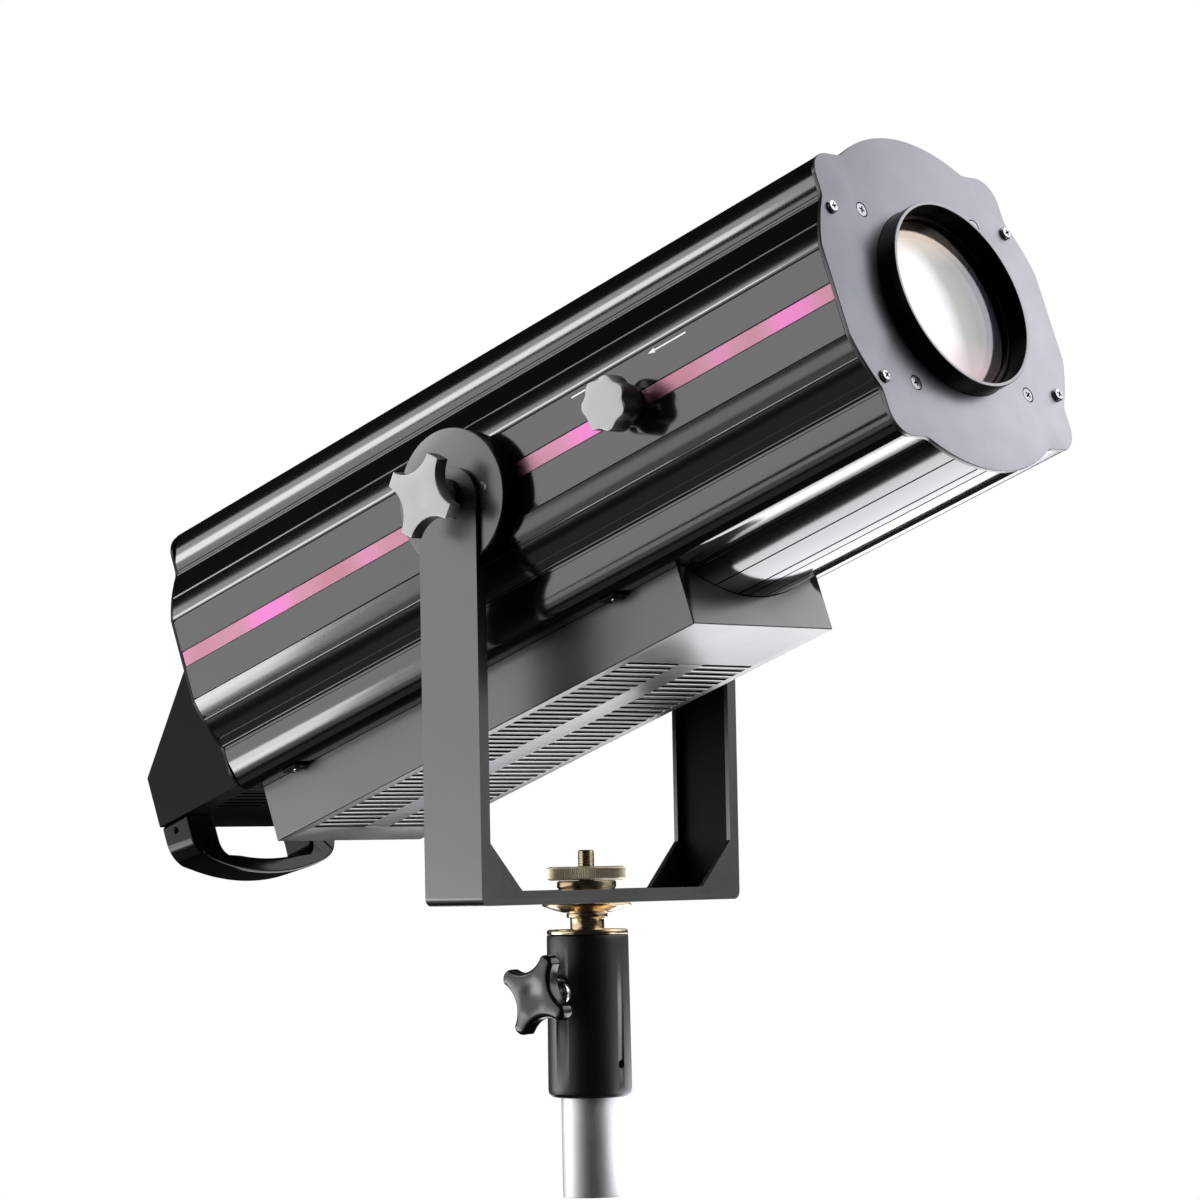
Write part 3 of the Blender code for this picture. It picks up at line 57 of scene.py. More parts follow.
LAMP = Matrix.Translation((0, 0, PIVOT_Z)) @ Matrix.Rotation(-TILT, 4, 'Y')
WORLD = Matrix.Identity(4)
SEC = Matrix(((0, 0, 1, 0), (1, 0, 0, 0), (0, 1, 0, 0), (0, 0, 0, 1)))      # section (y, v) along x
SIDE = Matrix(((1, 0, 0, 0), (0, 0, -1, 0), (0, 1, 0, 0), (0, 0, 0, 1)))    # section (x, v) along -y


# ------------------------------------------------------------ mesh helpers
def circle(r, n, cx=0.0, cy=0.0, a0=0.0):
    return [(cx + r * math.cos(a0 + 2 * math.pi * i / n),
             cy + r * math.sin(a0 + 2 * math.pi * i / n)) for i in range(n)]


def arc(cx, cy, r, a0, a1, n):
    return [(cx + r * math.cos(math.radians(a0 + (a1 - a0) * i / n)),
             cy + r * math.sin(math.radians(a0 + (a1 - a0) * i / n))) for i in range(n + 1)]


def rect(x0, y0, x1, y1):
    return [(x0, y0), (x1, y0), (x1, y1), (x0, y1)]


def rounded_rect(x0, y0, x1, y1, r, n=6):
    return (arc(x1 - r, y0 + r, r, -90, 0, n) + arc(x1 - r, y1 - r, r, 0, 90, n)
            + arc(x0 + r, y1 - r, r, 90, 180, n) + arc(x0 + r, y0 + r, r, 180, 270, n))


def cap(bm, loops):
    edges = []
    for lp in loops:
        for a, b in zip(lp, lp[1:] + lp[:1]):
            edges.append(bm.edges.get((a, b)) or bm.edges.new((a, b)))
    bmesh.ops.triangle_fill(bm, use_beauty=True, use_dissolve=False, edges=edges)


def slab(bm, loops, h0, h1, loops1=None):
    loops1 = loops1 or loops
    low = [[bm.verts.new((x, y, h0)) for x, y in lp] for lp in loops]
    high = [[bm.verts.new((x, y, h1)) for x, y in lp] for lp in loops1]
    cap(bm, low)
    cap(bm, high)
    for a, b in zip(low, high):
        for i in range(len(a)):
            j = (i + 1) % len(a)
            bm.faces.new((a[i], a[j], b[j], b[i]))
    return bm


def plate(loops, h0, h1, loops1=None):
    return slab(bmesh.new(), loops, h0, h1, loops1)


def box(x0, y0, z0, x1, y1, z1):
    return plate([rect(x0, y0, x1, y1)], z0, z1)


def lathe(profile, n):
    """Turned solid about +Z from a closed profile of (radius, height)."""
    bm = bmesh.new()
    vs = [bm.verts.new((r, 0.0, h)) for r, h in profile]
    es = [bm.edges.new((a, b)) for a, b in zip(vs, vs[1:] + vs[:1]) if not (a.co.x < 1e-9 and b.co.x < 1e-9)]
    bmesh.ops.spin(bm, geom=vs + es, cent=(0, 0, 0), axis=(0, 0, 1), angle=2 * math.pi, steps=n,
                   use_merge=True, use_duplicate=False)
    bmesh.ops.remove_doubles(bm, verts=bm.verts, dist=2e-7)
    return bm


def soften(profile, r, n=3, keep=()):
    """Rounds the corners of a closed 2-D profile by radius r, where they are sharp and have room."""
    out = []
    m = len(profile)
    for i, p in enumerate(profile):
        p = Vector(p)
        a, b = Vector(profile[i - 1]) - p, Vector(profile[(i + 1) % m]) - p
        if i in keep or p.x < 1e-9 or a.length < 1e-9 or b.length < 1e-9 or a.angle(b) > math.radians(165):
            out.append(tuple(p))
            continue
        half = a.angle(b) / 2
        cut = min(r / math.tan(half), a.length * 0.45, b.length * 0.45)
        rr = cut * math.tan(half)
        a, b = a.normalized(), b.normalized()
        c = p + (a + b).normalized() * (rr / math.sin(half))
        s, e = p + a * cut - c, p + b * cut - c
        a0 = math.atan2(s.y, s.x)
        d = (math.atan2(e.y, e.x) - a0 + math.pi) % (2 * math.pi) - math.pi
        out += [(c.x + rr * math.cos(a0 + d * k / n), c.y + rr * math.sin(a0 + d * k / n)) for k in range(n + 1)]
    return out


def add(bm, other, matrix=None):
    me = bpy.data.meshes.new("body_of_group")
    if matrix is not None:
        bmesh.ops.transform(other, matrix=matrix, verts=other.verts)
    other.to_mesh(me)
    other.free()
    bm.from_mesh(me)
    bpy.data.meshes.remove(me)
    return bm


def axis_frame(axis, at=(0, 0, 0)):
    d = {'X': Vector((1, 0, 0)), 'Y': Vector((0, 1, 0)), 'Z': Vector((0, 0, 1))}[axis[1]]
    if axis[0] == '-':
        d = -d
    return Matrix.Translation(at) @ d.to_track_quat('Z', 'Y').to_matrix().to_4x4()


ALONG = axis_frame('+X')


def offset(path, d):
    out = []
    for i, p in enumerate(path):
        p = Vector(p)
        a = (p - Vector(path[i - 1])).normalized() if i else None
        b = (Vector(path[i + 1]) - p).normalized() if i < len(path) - 1 else None
        a = a or b
        b = b or a
        na, nb = Vector((a.y, -a.x)), Vector((b.y, -b.x))
        m = (na + nb).normalized()
        out.append(tuple(p + m * d / max(m.dot(na), 0.5)))
    return out


def piece(name, bm, mat, body, frame_m=LAMP, build=None, replaces=(), angle=32, bevel=0.0, seg=2,
          weights=False, bevel_angle=40):
    """A finished piece, built in the axes of frame_m and kept in the shared frame's own axes."""
    bmesh.ops.remove_doubles(bm, verts=bm.verts, dist=2e-7)
    bmesh.ops.recalc_face_normals(bm, faces=bm.faces)
    if build is not None:
        bmesh.ops.transform(bm, matrix=build, verts=bm.verts)
    bmesh.ops.transform(bm, matrix=frame_m, verts=bm.verts)
    me = bpy.data.meshes.new(name)
    bm.to_mesh(me)
    bm.free()
    me.shade_smooth()
    if not bevel:
        me.set_sharp_from_angle(angle=math.radians(angle))
    me.materials.append(mat)
    ob = bpy.data.objects.new(name, me)
    bpy.context.scene.collection.objects.link(ob)
    if bevel:
        b = ob.modifiers.new("edges", 'BEVEL')
        b.width = bevel
        b.segments = seg
        b.limit_method = 'WEIGHT' if weights else 'ANGLE'
        b.angle_limit = math.radians(bevel_angle)
        b.use_clamp_overlap = True
        b.harden_normals = False
        w = ob.modifiers.new("faces", 'WEIGHTED_NORMAL')
        w.keep_sharp = True
        w.weight = 60
    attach(ob, body)
    if replaces:
        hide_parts(*([replaces] if isinstance(replaces, str) else replaces))
    return ob


def cutter(name, bm, frame_m, body, build=None):
    bmesh.ops.recalc_face_normals(bm, faces=bm.faces)
    if build is not None:
        bmesh.ops.transform(bm, matrix=build, verts=bm.verts)
    bmesh.ops.transform(bm, matrix=frame_m, verts=bm.verts)
    me = bpy.data.meshes.new(name)
    bm.to_mesh(me)
    bm.free()
    ob = bpy.data.objects.new(name, me)
    bpy.context.scene.collection.objects.link(ob)
    ob.hide_render = True
    ob.display_type = 'WIRE'
    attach(ob, body)
    return ob


def cut(ob, tool, first=True):
    m = ob.modifiers.new("cut_" + tool.name, 'BOOLEAN')
    m.object = tool
    m.operation = 'DIFFERENCE'
    m.solver = 'EXACT'
    if first:
        ob.modifiers.move(len(ob.modifiers) - 1, 0)
    return m


# ------------------------------------------------------------ materials
def nt(name):
    m = bpy.data.materials.new(name)
    m.use_nodes = True
    t = m.node_tree
    return m, t, t.nodes["Principled BSDF"]


def link(t, a, b):
    t.links.new(a, b)


def coords(t, scale=(1, 1, 1), lamp=False):
    """Coordinates fixed to the piece, along the lamp's own axes when lamp is set."""
    vec = t.nodes.new("ShaderNodeTexCoord").outputs["Object"]
    if lamp:
        shift = t.nodes.new("ShaderNodeMapping")
        shift.inputs["Location"].default_value = (0, 0, -PIVOT_Z)
        link(t, vec, shift.inputs["Vector"])
        turn = t.nodes.new("ShaderNodeMapping")
        turn.inputs["Rotation"].default_value = (0, TILT, 0)
        link(t, shift.outputs["Vector"], turn.inputs["Vector"])
        vec = turn.outputs["Vector"]
    m = t.nodes.new("ShaderNodeMapping")
    m.inputs["Scale"].default_value = scale
    link(t, vec, m.inputs["Vector"])
    return m.outputs["Vector"]


def noise(t, vec, scale, detail=4.0, rough=0.55, dist=0.0):
    n = t.nodes.new("ShaderNodeTexNoise")
    n.inputs["Scale"].default_value = scale
    n.inputs["Detail"].default_value = detail
    n.inputs["Roughness"].default_value = rough
    n.inputs["Distortion"].default_value = dist
    link(t, vec, n.inputs["Vector"])
    return n.outputs["Fac"]


def ramp(t, fac, stops):
    r = t.nodes.new("ShaderNodeValToRGB")
    e = r.color_ramp.elements
    while len(e) < len(stops):
        e.new(0.5)
    for el, (p, c) in zip(e, stops):
        el.position = p
        el.color = (*c, 1.0) if len(c) == 3 else c
    link(t, fac, r.inputs["Fac"])
    return r.outputs["Color"]


def span(t, fac, lo, hi, a=0.0, b=1.0):
    m = t.nodes.new("ShaderNodeMapRange")
    m.inputs["From Min"].default_value = a
    m.inputs["From Max"].default_value = b
    m.inputs["To Min"].default_value = lo
    m.inputs["To Max"].default_value = hi
    link(t, fac, m.inputs["Value"])
    return m.outputs["Result"]


def bump(t, p, height, strength, distance, prev=None):
    b = t.nodes.new("ShaderNodeBump")
    b.inputs["Strength"].default_value = strength
    b.inputs["Distance"].default_value = distance
    link(t, height, b.inputs["Height"])
    if prev is not None:
        link(t, prev, b.inputs["Normal"])
    if p is not None:
        link(t, b.outputs["Normal"], p.inputs["Normal"])
    return b.outputs["Normal"]


def mixed(t, a, b, fac):
    m = t.nodes.new("ShaderNodeMix")
    m.data_type = 'RGBA'
    for sock, v in ((m.inputs[6], a), (m.inputs[7], b)):
        if isinstance(v, tuple):
            sock.default_value = (*v, 1.0)
        else:
            link(t, v, sock)
    link(t, fac, m.inputs[0])
    return m.outputs[2]


def paint(name, dark, light, rough, spread=0.05, grain=1400.0, depth=0.00004, f0=0.04, coat=0.0, streak=None,
          strength=0.25):
    """Sprayed or anodised finish: cloudy tone, uneven gloss and a fine pebble; streak stretches it along the lamp's axes.
    f0 is how much of the light that falls straight on the face it mirrors."""
    m, t, p = nt(name)
    v = coords(t)
    cloud = noise(t, v, 9.0, 5.0)
    link(t, ramp(t, cloud, [(0.3, dark), (0.7, light)]), p.inputs["Base Color"])
    fine = noise(t, coords(t, streak, True), 60.0, 3.0) if streak else noise(t, v, grain, 3.0)
    wide = noise(t, v, 26.0, 6.0)
    mul = t.nodes.new("ShaderNodeMath")
    mul.operation = 'ADD'
    link(t, span(t, wide, -spread, spread, 0.3, 0.7), mul.inputs[0])
    link(t, span(t, fine, rough - spread * 0.5, rough + spread * 0.5, 0.3, 0.7), mul.inputs[1])
    link(t, mul.outputs[0], p.inputs["Roughness"])
    bump(t, p, fine, strength, depth)
    if f0 > 0.08:
        half = math.sqrt(f0 / 2)
        p.inputs["IOR"].default_value = (1 + half) / (1 - half)
        p.inputs["Specular IOR Level"].default_value = 1.0
    else:
        p.inputs["Specular IOR Level"].default_value = f0 / 0.08
    p.inputs["Coat Weight"].default_value = coat
    p.inputs["Coat Roughness"].default_value = 0.06
    return m


def metal(name, dark, light, rough, spread=0.06, streak=(1, 1, 1), scale=220.0, strength=0.15, depth=0.00003, lamp=False):
    m, t, p = nt(name)
    v = coords(t)
    fine = noise(t, coords(t, streak, lamp), scale, 5.0, 0.6)
    cloud = noise(t, v, 45.0, 4.0)
    tone = t.nodes.new("ShaderNodeMath")
    tone.operation = 'MULTIPLY'
    link(t, span(t, fine, 0.4, 1.4), tone.inputs[0])
    link(t, cloud, tone.inputs[1])
    link(t, ramp(t, tone.outputs[0], [(0.25, dark), (0.65, light)]), p.inputs["Base Color"])
    link(t, span(t, fine, rough - spread, rough + spread, 0.3, 0.7), p.inputs["Roughness"])
    bump(t, p, fine, strength, depth)
    p.inputs["Metallic"].default_value = 1.0
    return m


def glass(name, tint, rough=0.01, ior=1.5):
    m, t, p = nt(name)
    v = coords(t)
    n = noise(t, v, 60.0, 3.0)
    link(t, ramp(t, n, [(0.2, tint), (0.8, tuple(min(1.0, c * 1.02) for c in tint))]), p.inputs["Base Color"])
    link(t, span(t, noise(t, v, 300.0, 2.0), rough, rough + 0.015, 0.4, 0.8), p.inputs["Roughness"])
    p.inputs["Transmission Weight"].default_value = 1.0
    p.inputs["IOR"].default_value = ior
    return m


BODY = paint("extrusion_black", (0.003, 0.003, 0.0035), (0.006, 0.006, 0.0065), 0.11, 0.005, streak=(2, 60, 60),
             depth=0.00001, f0=0.14, strength=0.006)
PLATE = metal("plate_gunmetal", (0.31, 0.31, 0.335), (0.35, 0.35, 0.38), 0.37, 0.03, scale=1100.0, strength=0.06,
              depth=0.00001)


def plate_painted_light():
    """Bead-blasted gunmetal with painted light: darker towards the top of the sheet and lighter towards its far side.
    """
    t = PLATE.node_tree
    p = t.nodes["Principled BSDF"]
    sep = t.nodes.new("ShaderNodeSeparateXYZ")
    link(t, coords(t, (1, 1, 1), True), sep.inputs[0])
    light_slope = t.nodes.new("ShaderNodeMath")
    light_slope.operation = 'MULTIPLY_ADD'
    link(t, sep.outputs["Z"], light_slope.inputs[0])
    light_slope.inputs[1].default_value = -0.75
    link(t, sep.outputs["Y"], light_slope.inputs[2])
    grain = p.inputs["Base Color"].links[0].from_socket
    # painted light: the slope across the sheet scales the gunmetal between darker and lighter
    tint = ramp(t, span(t, light_slope.outputs[0], 0.0, 1.0, -0.12, 0.12), [(0.0, (0.58, 0.58, 0.58)), (1.0, (1.12, 1.12, 1.10))])
    mul = t.nodes.new("ShaderNodeMix")
    mul.data_type = 'RGBA'
    mul.blend_type = 'MULTIPLY'
    mul.inputs[0].default_value = 1.0
    link(t, grain, mul.inputs[6])
    link(t, tint, mul.inputs[7])
    link(t, mul.outputs[2], p.inputs["Base Color"])


plate_painted_light()
POWDER = paint("powder_black", (0.006, 0.006, 0.0065), (0.011, 0.011, 0.012), 0.31, 0.04, grain=1500.0, depth=0.00005,
               f0=0.17, strength=0.20)
SHEET = paint("sheet_black", (0.005, 0.005, 0.0055), (0.009, 0.009, 0.010), 0.33, 0.04, grain=1300.0, depth=0.00003,
              f0=0.155, strength=0.15)
MATT = paint("matt_black", (0.002, 0.002, 0.0025), (0.004, 0.004, 0.005), 0.42, 0.05, grain=1500.0, depth=0.00005,
             f0=0.010, strength=0.25)
# near-black for screw recesses: painted shade in the hollows of the cross
RECESS_SHADE = paint("recess_painted_shade", (0.002, 0.002, 0.002), (0.004, 0.004, 0.004), 0.50, 0.05, grain=1500.0, depth=0.00005,
               f0=0.006, strength=0.25)
SATIN = paint("satin_black", (0.003, 0.003, 0.0035), (0.006, 0.006, 0.0065), 0.30, 0.05, grain=1100.0, depth=0.00002,
              f0=0.025, strength=0.15)
MOULDED = paint("moulded_black", (0.003, 0.003, 0.0035), (0.006, 0.006, 0.007), 0.42, 0.03, grain=1700.0, depth=0.00003,
                f0=0.013, strength=0.15)
KNOBS = paint("knob_satin", (0.006, 0.006, 0.006), (0.012, 0.012, 0.012), 0.36, 0.04, grain=1500.0, depth=0.00005,
              f0=0.48, strength=0.20)
GRIP = paint("grip_black", (0.004, 0.004, 0.005), (0.008, 0.008, 0.009), 0.22, 0.03, grain=1500.0, depth=0.00003,
             f0=0.07, strength=0.12)
GLOSS = paint("gloss_black", (0.003, 0.003, 0.004), (0.006, 0.006, 0.007), 0.13, 0.02, grain=700.0, depth=0.00001,
              f0=0.03, strength=0.08)
KEYS = paint("key_grey", (0.06, 0.06, 0.065), (0.10, 0.10, 0.105), 0.40, 0.05)
RED = paint("rocker_red", (0.45, 0.012, 0.010), (0.62, 0.03, 0.02), 0.26, 0.04)
PANEL = paint("panel_grey", (0.020, 0.020, 0.023), (0.032, 0.032, 0.036), 0.40, 0.05)
BOARD = paint("board_white", (0.62, 0.62, 0.58), (0.78, 0.78, 0.74), 0.45, 0.06)
ZINC = metal("yellow_zinc", (0.62, 0.44, 0.24), (0.98, 0.86, 0.62), 0.20, 0.06, streak=(1, 1, 6), scale=90.0)
KNURL = metal("knurled_zinc", (0.78, 0.66, 0.42), (0.98, 0.92, 0.74), 0.46, 0.06, scale=700.0, strength=0.3)
HEADS = metal("screw_heads", (0.30, 0.30, 0.31), (0.46, 0.46, 0.48), 0.26, 0.05, scale=300.0)
PANS = metal("pan_heads", (0.50, 0.50, 0.51), (0.72, 0.72, 0.74), 0.26, 0.05, scale=300.0)
CHROME = metal("bright_screw", (0.62, 0.62, 0.64), (0.92, 0.92, 0.94), 0.14, 0.05, scale=300.0)
SILVER = metal("drawn_tube", (0.84, 0.84, 0.86), (0.96, 0.96, 0.98), 0.54, 0.04, streak=(6, 6, 0.5), scale=90.0,
               strength=0.04, depth=0.00001)
EDGE = paint("rim_satin", (0.006, 0.006, 0.007), (0.011, 0.011, 0.012), 0.30, 0.05, grain=1300.0, depth=0.00002,
            f0=0.30, strength=0.15)
ALU = metal("mill_aluminium", (0.50, 0.51, 0.52), (0.76, 0.77, 0.78), 0.34, 0.08, streak=(1, 8, 8), scale=60.0, lamp=True)
STEEL = metal("ground_steel", (0.50, 0.50, 0.52), (0.80, 0.80, 0.82), 0.18, 0.05, streak=(1, 8, 8), scale=80.0, lamp=True)
WHITE_INK = metal("printed_white", (0.88, 0.88, 0.88), (0.97, 0.97, 0.97), 0.40, 0.05, scale=500.0)


def stripe_material():
    """Pink anodised inlay: salmon along most of its length, with hot pink patches that fade in and out."""
    m, t, p = nt("stripe_pink")
    v = coords(t, (1, 0.02, 0.35), True)
    big = noise(t, v, 14.0, 1.0, 0.4)
    col = ramp(t, big, [(0.40, (0.53, 0.24, 0.30)), (0.50, (0.58, 0.28, 0.37)), (0.58, (0.78, 0.26, 0.54)),
                        (0.70, (0.86, 0.24, 0.64))])
    link(t, col, p.inputs["Base Color"])
    fine = noise(t, coords(t, (1, 8, 8), True), 240.0, 4.0)
    link(t, span(t, fine, 0.26, 0.32, 0.3, 0.7), p.inputs["Roughness"])
    bump(t, p, fine, 0.008, 0.00001)
    p.inputs["Metallic"].default_value = 1.0
    return m


STRIPE = stripe_material()


def lens_with_painted_reflection():
    """Clear glass mixed with a glossy layer whose colour is painted reflection: white over its near side, greyer
    upwards, rose below, brown and blue rims.
    """
    m, t, p = nt("front_lens_glass_painted_reflection")
    v = coords(t, (1, 1, 1), True)
    p.inputs["Base Color"].default_value = (0.95, 0.96, 0.97, 1)
    link(t, span(t, noise(t, v, 300.0, 2.0), 0.004, 0.02, 0.4, 0.8), p.inputs["Roughness"])
    p.inputs["Transmission Weight"].default_value = 1.0
    p.inputs["IOR"].default_value = 1.52
    sep = t.nodes.new("ShaderNodeSeparateXYZ")
    link(t, v, sep.inputs[0])

    def math2(op, a, b):
        n = t.nodes.new("ShaderNodeMath")
        n.operation = op
        for sock, val in zip(n.inputs, (a, b)):
            if isinstance(val, (int, float)):
                sock.default_value = val
            else:
                link(t, val, sock)
        return n.outputs[0]
    across, high = sep.outputs["Y"], sep.outputs["Z"]
    wave = math2('MULTIPLY', math2('SUBTRACT', noise(t, v, 22.0, 2.0), 0.5), 0.012)
    s_ = math2('ADD', math2('ADD', math2('MULTIPLY', across, 0.95), math2('MULTIPLY', high, 0.22)), wave)
    # painted reflection: the glossy layer's colour runs from white on the near side through greys to blue at the far
    # rim
    tone = ramp(t, span(t, s_, 0.0, 1.0, -0.052, 0.052), [
        (0.0, (1.0, 1.0, 1.0)), (0.32, (0.90, 0.90, 0.89)), (0.45, (0.38, 0.39, 0.36)), (0.60, (0.28, 0.29, 0.27)),
        (0.80, (0.28, 0.28, 0.30)), (0.92, (0.16, 0.16, 0.24)), (1.0, (0.02, 0.02, 0.09))])
    # painted reflection: rose towards the bottom, warm and then brown towards the top rim
    low = span(t, high, 0.9, 0.0, -0.052, -0.024)
    tone = mixed(t, tone, (0.60, 0.42, 0.44), low)
    tone = mixed(t, tone, (0.62, 0.52, 0.42), span(t, high, 0.0, 0.9, 0.020, 0.042))
    tone = mixed(t, tone, (0.16, 0.10, 0.06), span(t, high, 0.0, 1.0, 0.045, 0.052))
    g = t.nodes.new("ShaderNodeBsdfGlossy")
    link(t, tone, g.inputs["Color"])
    g.inputs["Roughness"].default_value = 0.10
    # the glossy layer's normal leans towards the lens axis, so its painted reflection lies flat across the face
    own = t.nodes.new("ShaderNodeTexCoord").outputs["Normal"]
    flat_ = t.nodes.new("ShaderNodeVectorMath")
    flat_.operation = 'MULTIPLY_ADD'
    link(t, own, flat_.inputs[0])
    flat_.inputs[1].default_value = (0.3, 0.3, 0.3)
    flat_.inputs[2].default_value = (0.7 * math.cos(TILT), 0.0, 0.7 * math.sin(TILT))
    turn = t.nodes.new("ShaderNodeVectorTransform")
    turn.vector_type = 'NORMAL'
    turn.convert_from, turn.convert_to = 'OBJECT', 'WORLD'
    link(t, flat_.outputs[0], turn.inputs[0])
    unit = t.nodes.new("ShaderNodeVectorMath")
    unit.operation = 'NORMALIZE'
    link(t, turn.outputs[0], unit.inputs[0])
    link(t, unit.outputs[0], g.inputs["Normal"])
    mx = t.nodes.new("ShaderNodeMixShader")
    mx.inputs[0].default_value = 0.70
    link(t, p.outputs[0], mx.inputs[1])
    link(t, g.outputs[0], mx.inputs[2])
    link(t, mx.outputs[0], t.nodes["Material Output"].inputs["Surface"])
    return m


# ------------------------------------------------------------ housing section
def quarter(e, dome=26, lobe=14, flank=14, bowed=False):
    """Upper right quarter of the body's outline, from the crown round the dome,
    the corner lobe and the flank to the flat side, inset by e. Bowed gives the radius of the lobe's rounded side,
    the radius of its corner and how far, in degrees, the side starts below its widest point."""
    r, c = BODY_R - e, BODY_C
    top, side, flat = LOBE_TOP - e, LOBE - e, FLAT - e
    a1 = math.degrees(math.acos((top + c) / r))
    pts = [(r * math.sin(math.radians(a1 * i / dome)), r * math.cos(math.radians(a1 * i / dome)) - c)
           for i in range(dome + 1)]
    if bowed:
        big, small, root = bowed
        low_v = math.sqrt(r * r - side * side) - c
        cy = low_v + big * math.sin(math.radians(root))
        cx = side - big
        room = top - cy
        turn = math.asin((room - small) / (big - small))
        bx, by = cx + (big - small) * math.cos(turn), cy + (big - small) * math.sin(turn)
        pts += arc(bx, by, small, 90, math.degrees(turn), lobe)
        pts += arc(cx, cy, big, math.degrees(turn), -root, 10)[1:]
    else:
        pts += arc(side - LOBE_CORNER, top - LOBE_CORNER, LOBE_CORNER, 90, 0, lobe)
    a2, a3 = math.degrees(math.asin(side / r)), math.degrees(math.asin(flat / r))
    pts += [(r * math.sin(math.radians(a2 + (a3 - a2) * i / flank)),
             r * math.cos(math.radians(a2 + (a3 - a2) * i / flank)) - c) for i in range(flank + 1)]
    return pts


def fillets(path, r, n=6):
    """Rounds the corners of a closed outline that turn by more than 18 degrees."""
    out = []
    m = len(path)
    for i, p in enumerate(path):
        p = Vector(p)
        turn = (p - Vector(path[i - 1])).angle(Vector(path[(i + 1) % m]) - p)
        if turn < math.radians(18):
            out.append(tuple(p))
            continue
        reach = r * math.tan(turn / 2)

        def walk(step):
            here, left, k = p, reach, i
            while True:
                k = (k + step) % m
                there = Vector(path[k])
                if (there - here).length >= left:
                    return here + (there - here).normalized() * left, k
                left -= (there - here).length
                here = there
        (s_, ks), (e_, ke) = walk(-1), walk(1)
        out.append(("cut", ks, ke, i, [tuple((s_ * (1 - u) ** 2 + p * 2 * u * (1 - u) + e_ * u * u)) for u in
                                       [k / n for k in range(n + 1)]]))
    drop = set()
    for item in out:
        if len(item) == 5:
            k = (item[1] + 1) % m
            while k != item[2]:
                drop.add(k)
                k = (k + 1) % m
    res = []
    for i, item in enumerate(out):
        if len(item) == 5:
            res += item[4]
        elif i not in drop:
            res.append(item)
    return res


def outline(e):
    q = quarter(e)
    right = q + [(y, -v) for y, v in reversed(q)]
    left = [(-y, v) for y, v in reversed(right)]
    return fillets(right + left[1:-1], 11.0 * MM)


def grooved(path, at, width, depth, key=1):
    """Cuts small square-edged grooves into an open path where its y (key 0) or v (key 1) passes each value."""
    out = [path[0]]
    inner = offset(path, depth)
    for i in range(1, len(path)):
        p, q = path[i - 1], path[i]
        pi, qi = inner[i - 1], inner[i]
        lo, hi = sorted((p[key], q[key]))
        here = sorted((g for g in at if lo <= g < hi), reverse=p[key] > q[key])
        for g in here:
            u = (g - p[key]) / (q[key] - p[key])
            d = Vector(q) - Vector(p)
            w = width / 2 / max(d.length, 1e-9)

            def on(a, b, k):
                return (a[0] + (b[0] - a[0]) * k, a[1] + (b[1] - a[1]) * k)
            out += [on(p, q, u - w), on(pi, qi, u - w), on(pi, qi, u + w), on(p, q, u + w)]
        out.append(q)
    return out


UP_LOBE, LOW_LOBE = (46.0 * MM, 8.5 * MM, 2.0), (38.0 * MM, 9.0 * MM, 7.0)


def beaded(path, at, width, height):
    """Adds small rounded ridges to an open path where its v passes each value."""
    out = [path[0]]
    for i in range(1, len(path)):
        p, q = Vector(path[i - 1]), Vector(path[i])
        lo, hi = sorted((p.y, q.y))
        for g in sorted((g for g in at if lo <= g < hi), reverse=p.y > q.y):
            c = p.lerp(q, (g - p.y) / (q.y - p.y))
            d = (q - p).normalized()
            n = Vector((-d.y, d.x)) if Vector((-d.y, d.x)).dot(Vector((1, 0))) > 0 else Vector((d.y, -d.x))
            for k in range(7):
                u = -1 + k / 3
                out.append(tuple(c + d * (u * width / 2) + n * (height * (1 - u * u))))
        out.append(tuple(q))
    return out


def crown_panel(sign):
    q = [p for p in quarter(INSET, bowed=UP_LOBE if sign > 0 else LOW_LOBE) if p[1] > SPLIT_V]
    right = q + [(q[-1][0], SPLIT_V + 0.25 * MM)]
    path = [(-y, v) for y, v in reversed(right)] + right[1:]
    at = [s * g * MM for g in ((7.5, 15.5, 34.6, 52.4, 56.0) if sign < 0 else (52.4, 34.6)) for s in (-1, 1)]
    shaped = grooved(path, at, (1.5 if sign < 0 else 1.0) * MM, 1.3 * MM, 0)
    sec = shaped + offset(path, WALL)[::-1]
    return [(y, sign * v) for y, v in sec]


def side_panel(sign):
    q = [p for p in quarter(INSET, bowed=UP_LOBE) if p[1] < SPLIT_V]
    q_low = [p for p in quarter(INSET, bowed=LOW_LOBE) if p[1] < SPLIT_V]
    flat = FLAT - INSET
    rec, deep = 5.25 * MM, 1.3 * MM
    upper = [(q[0][0], SPLIT_V - 0.25 * MM)] + q
    lower = [(y, -v) for y, v in reversed([(q_low[0][0], SPLIT_V - 0.25 * MM)] + q_low)]
    plain = upper + lower
    shaped_u = beaded(grooved(upper + [(flat, rec)], [25.6 * MM], 1.1 * MM, 1.3 * MM), [41.6 * MM, 57.4 * MM], 1.5 * MM, 0.45 * MM)
    shaped_l = beaded(grooved([(flat, -rec)] + lower, [-26.4 * MM, -38.2 * MM, -52.5 * MM], 1.1 * MM, 1.3 * MM),
                      [-40.0 * MM, -57.4 * MM], 1.3 * MM, 0.35 * MM)
    path = shaped_u + [(flat - deep, rec), (flat - deep, -rec)] + shaped_l
    sec = path + offset(plain, WALL)[::-1]
    return [(sign * y, v) for y, v in sec]


def extrusion(name, sec, body="lamp"):
    return piece(name + "_finish", plate([sec], A_REAR, A_FRONT), BODY, body, build=SEC, replaces=name, angle=24)


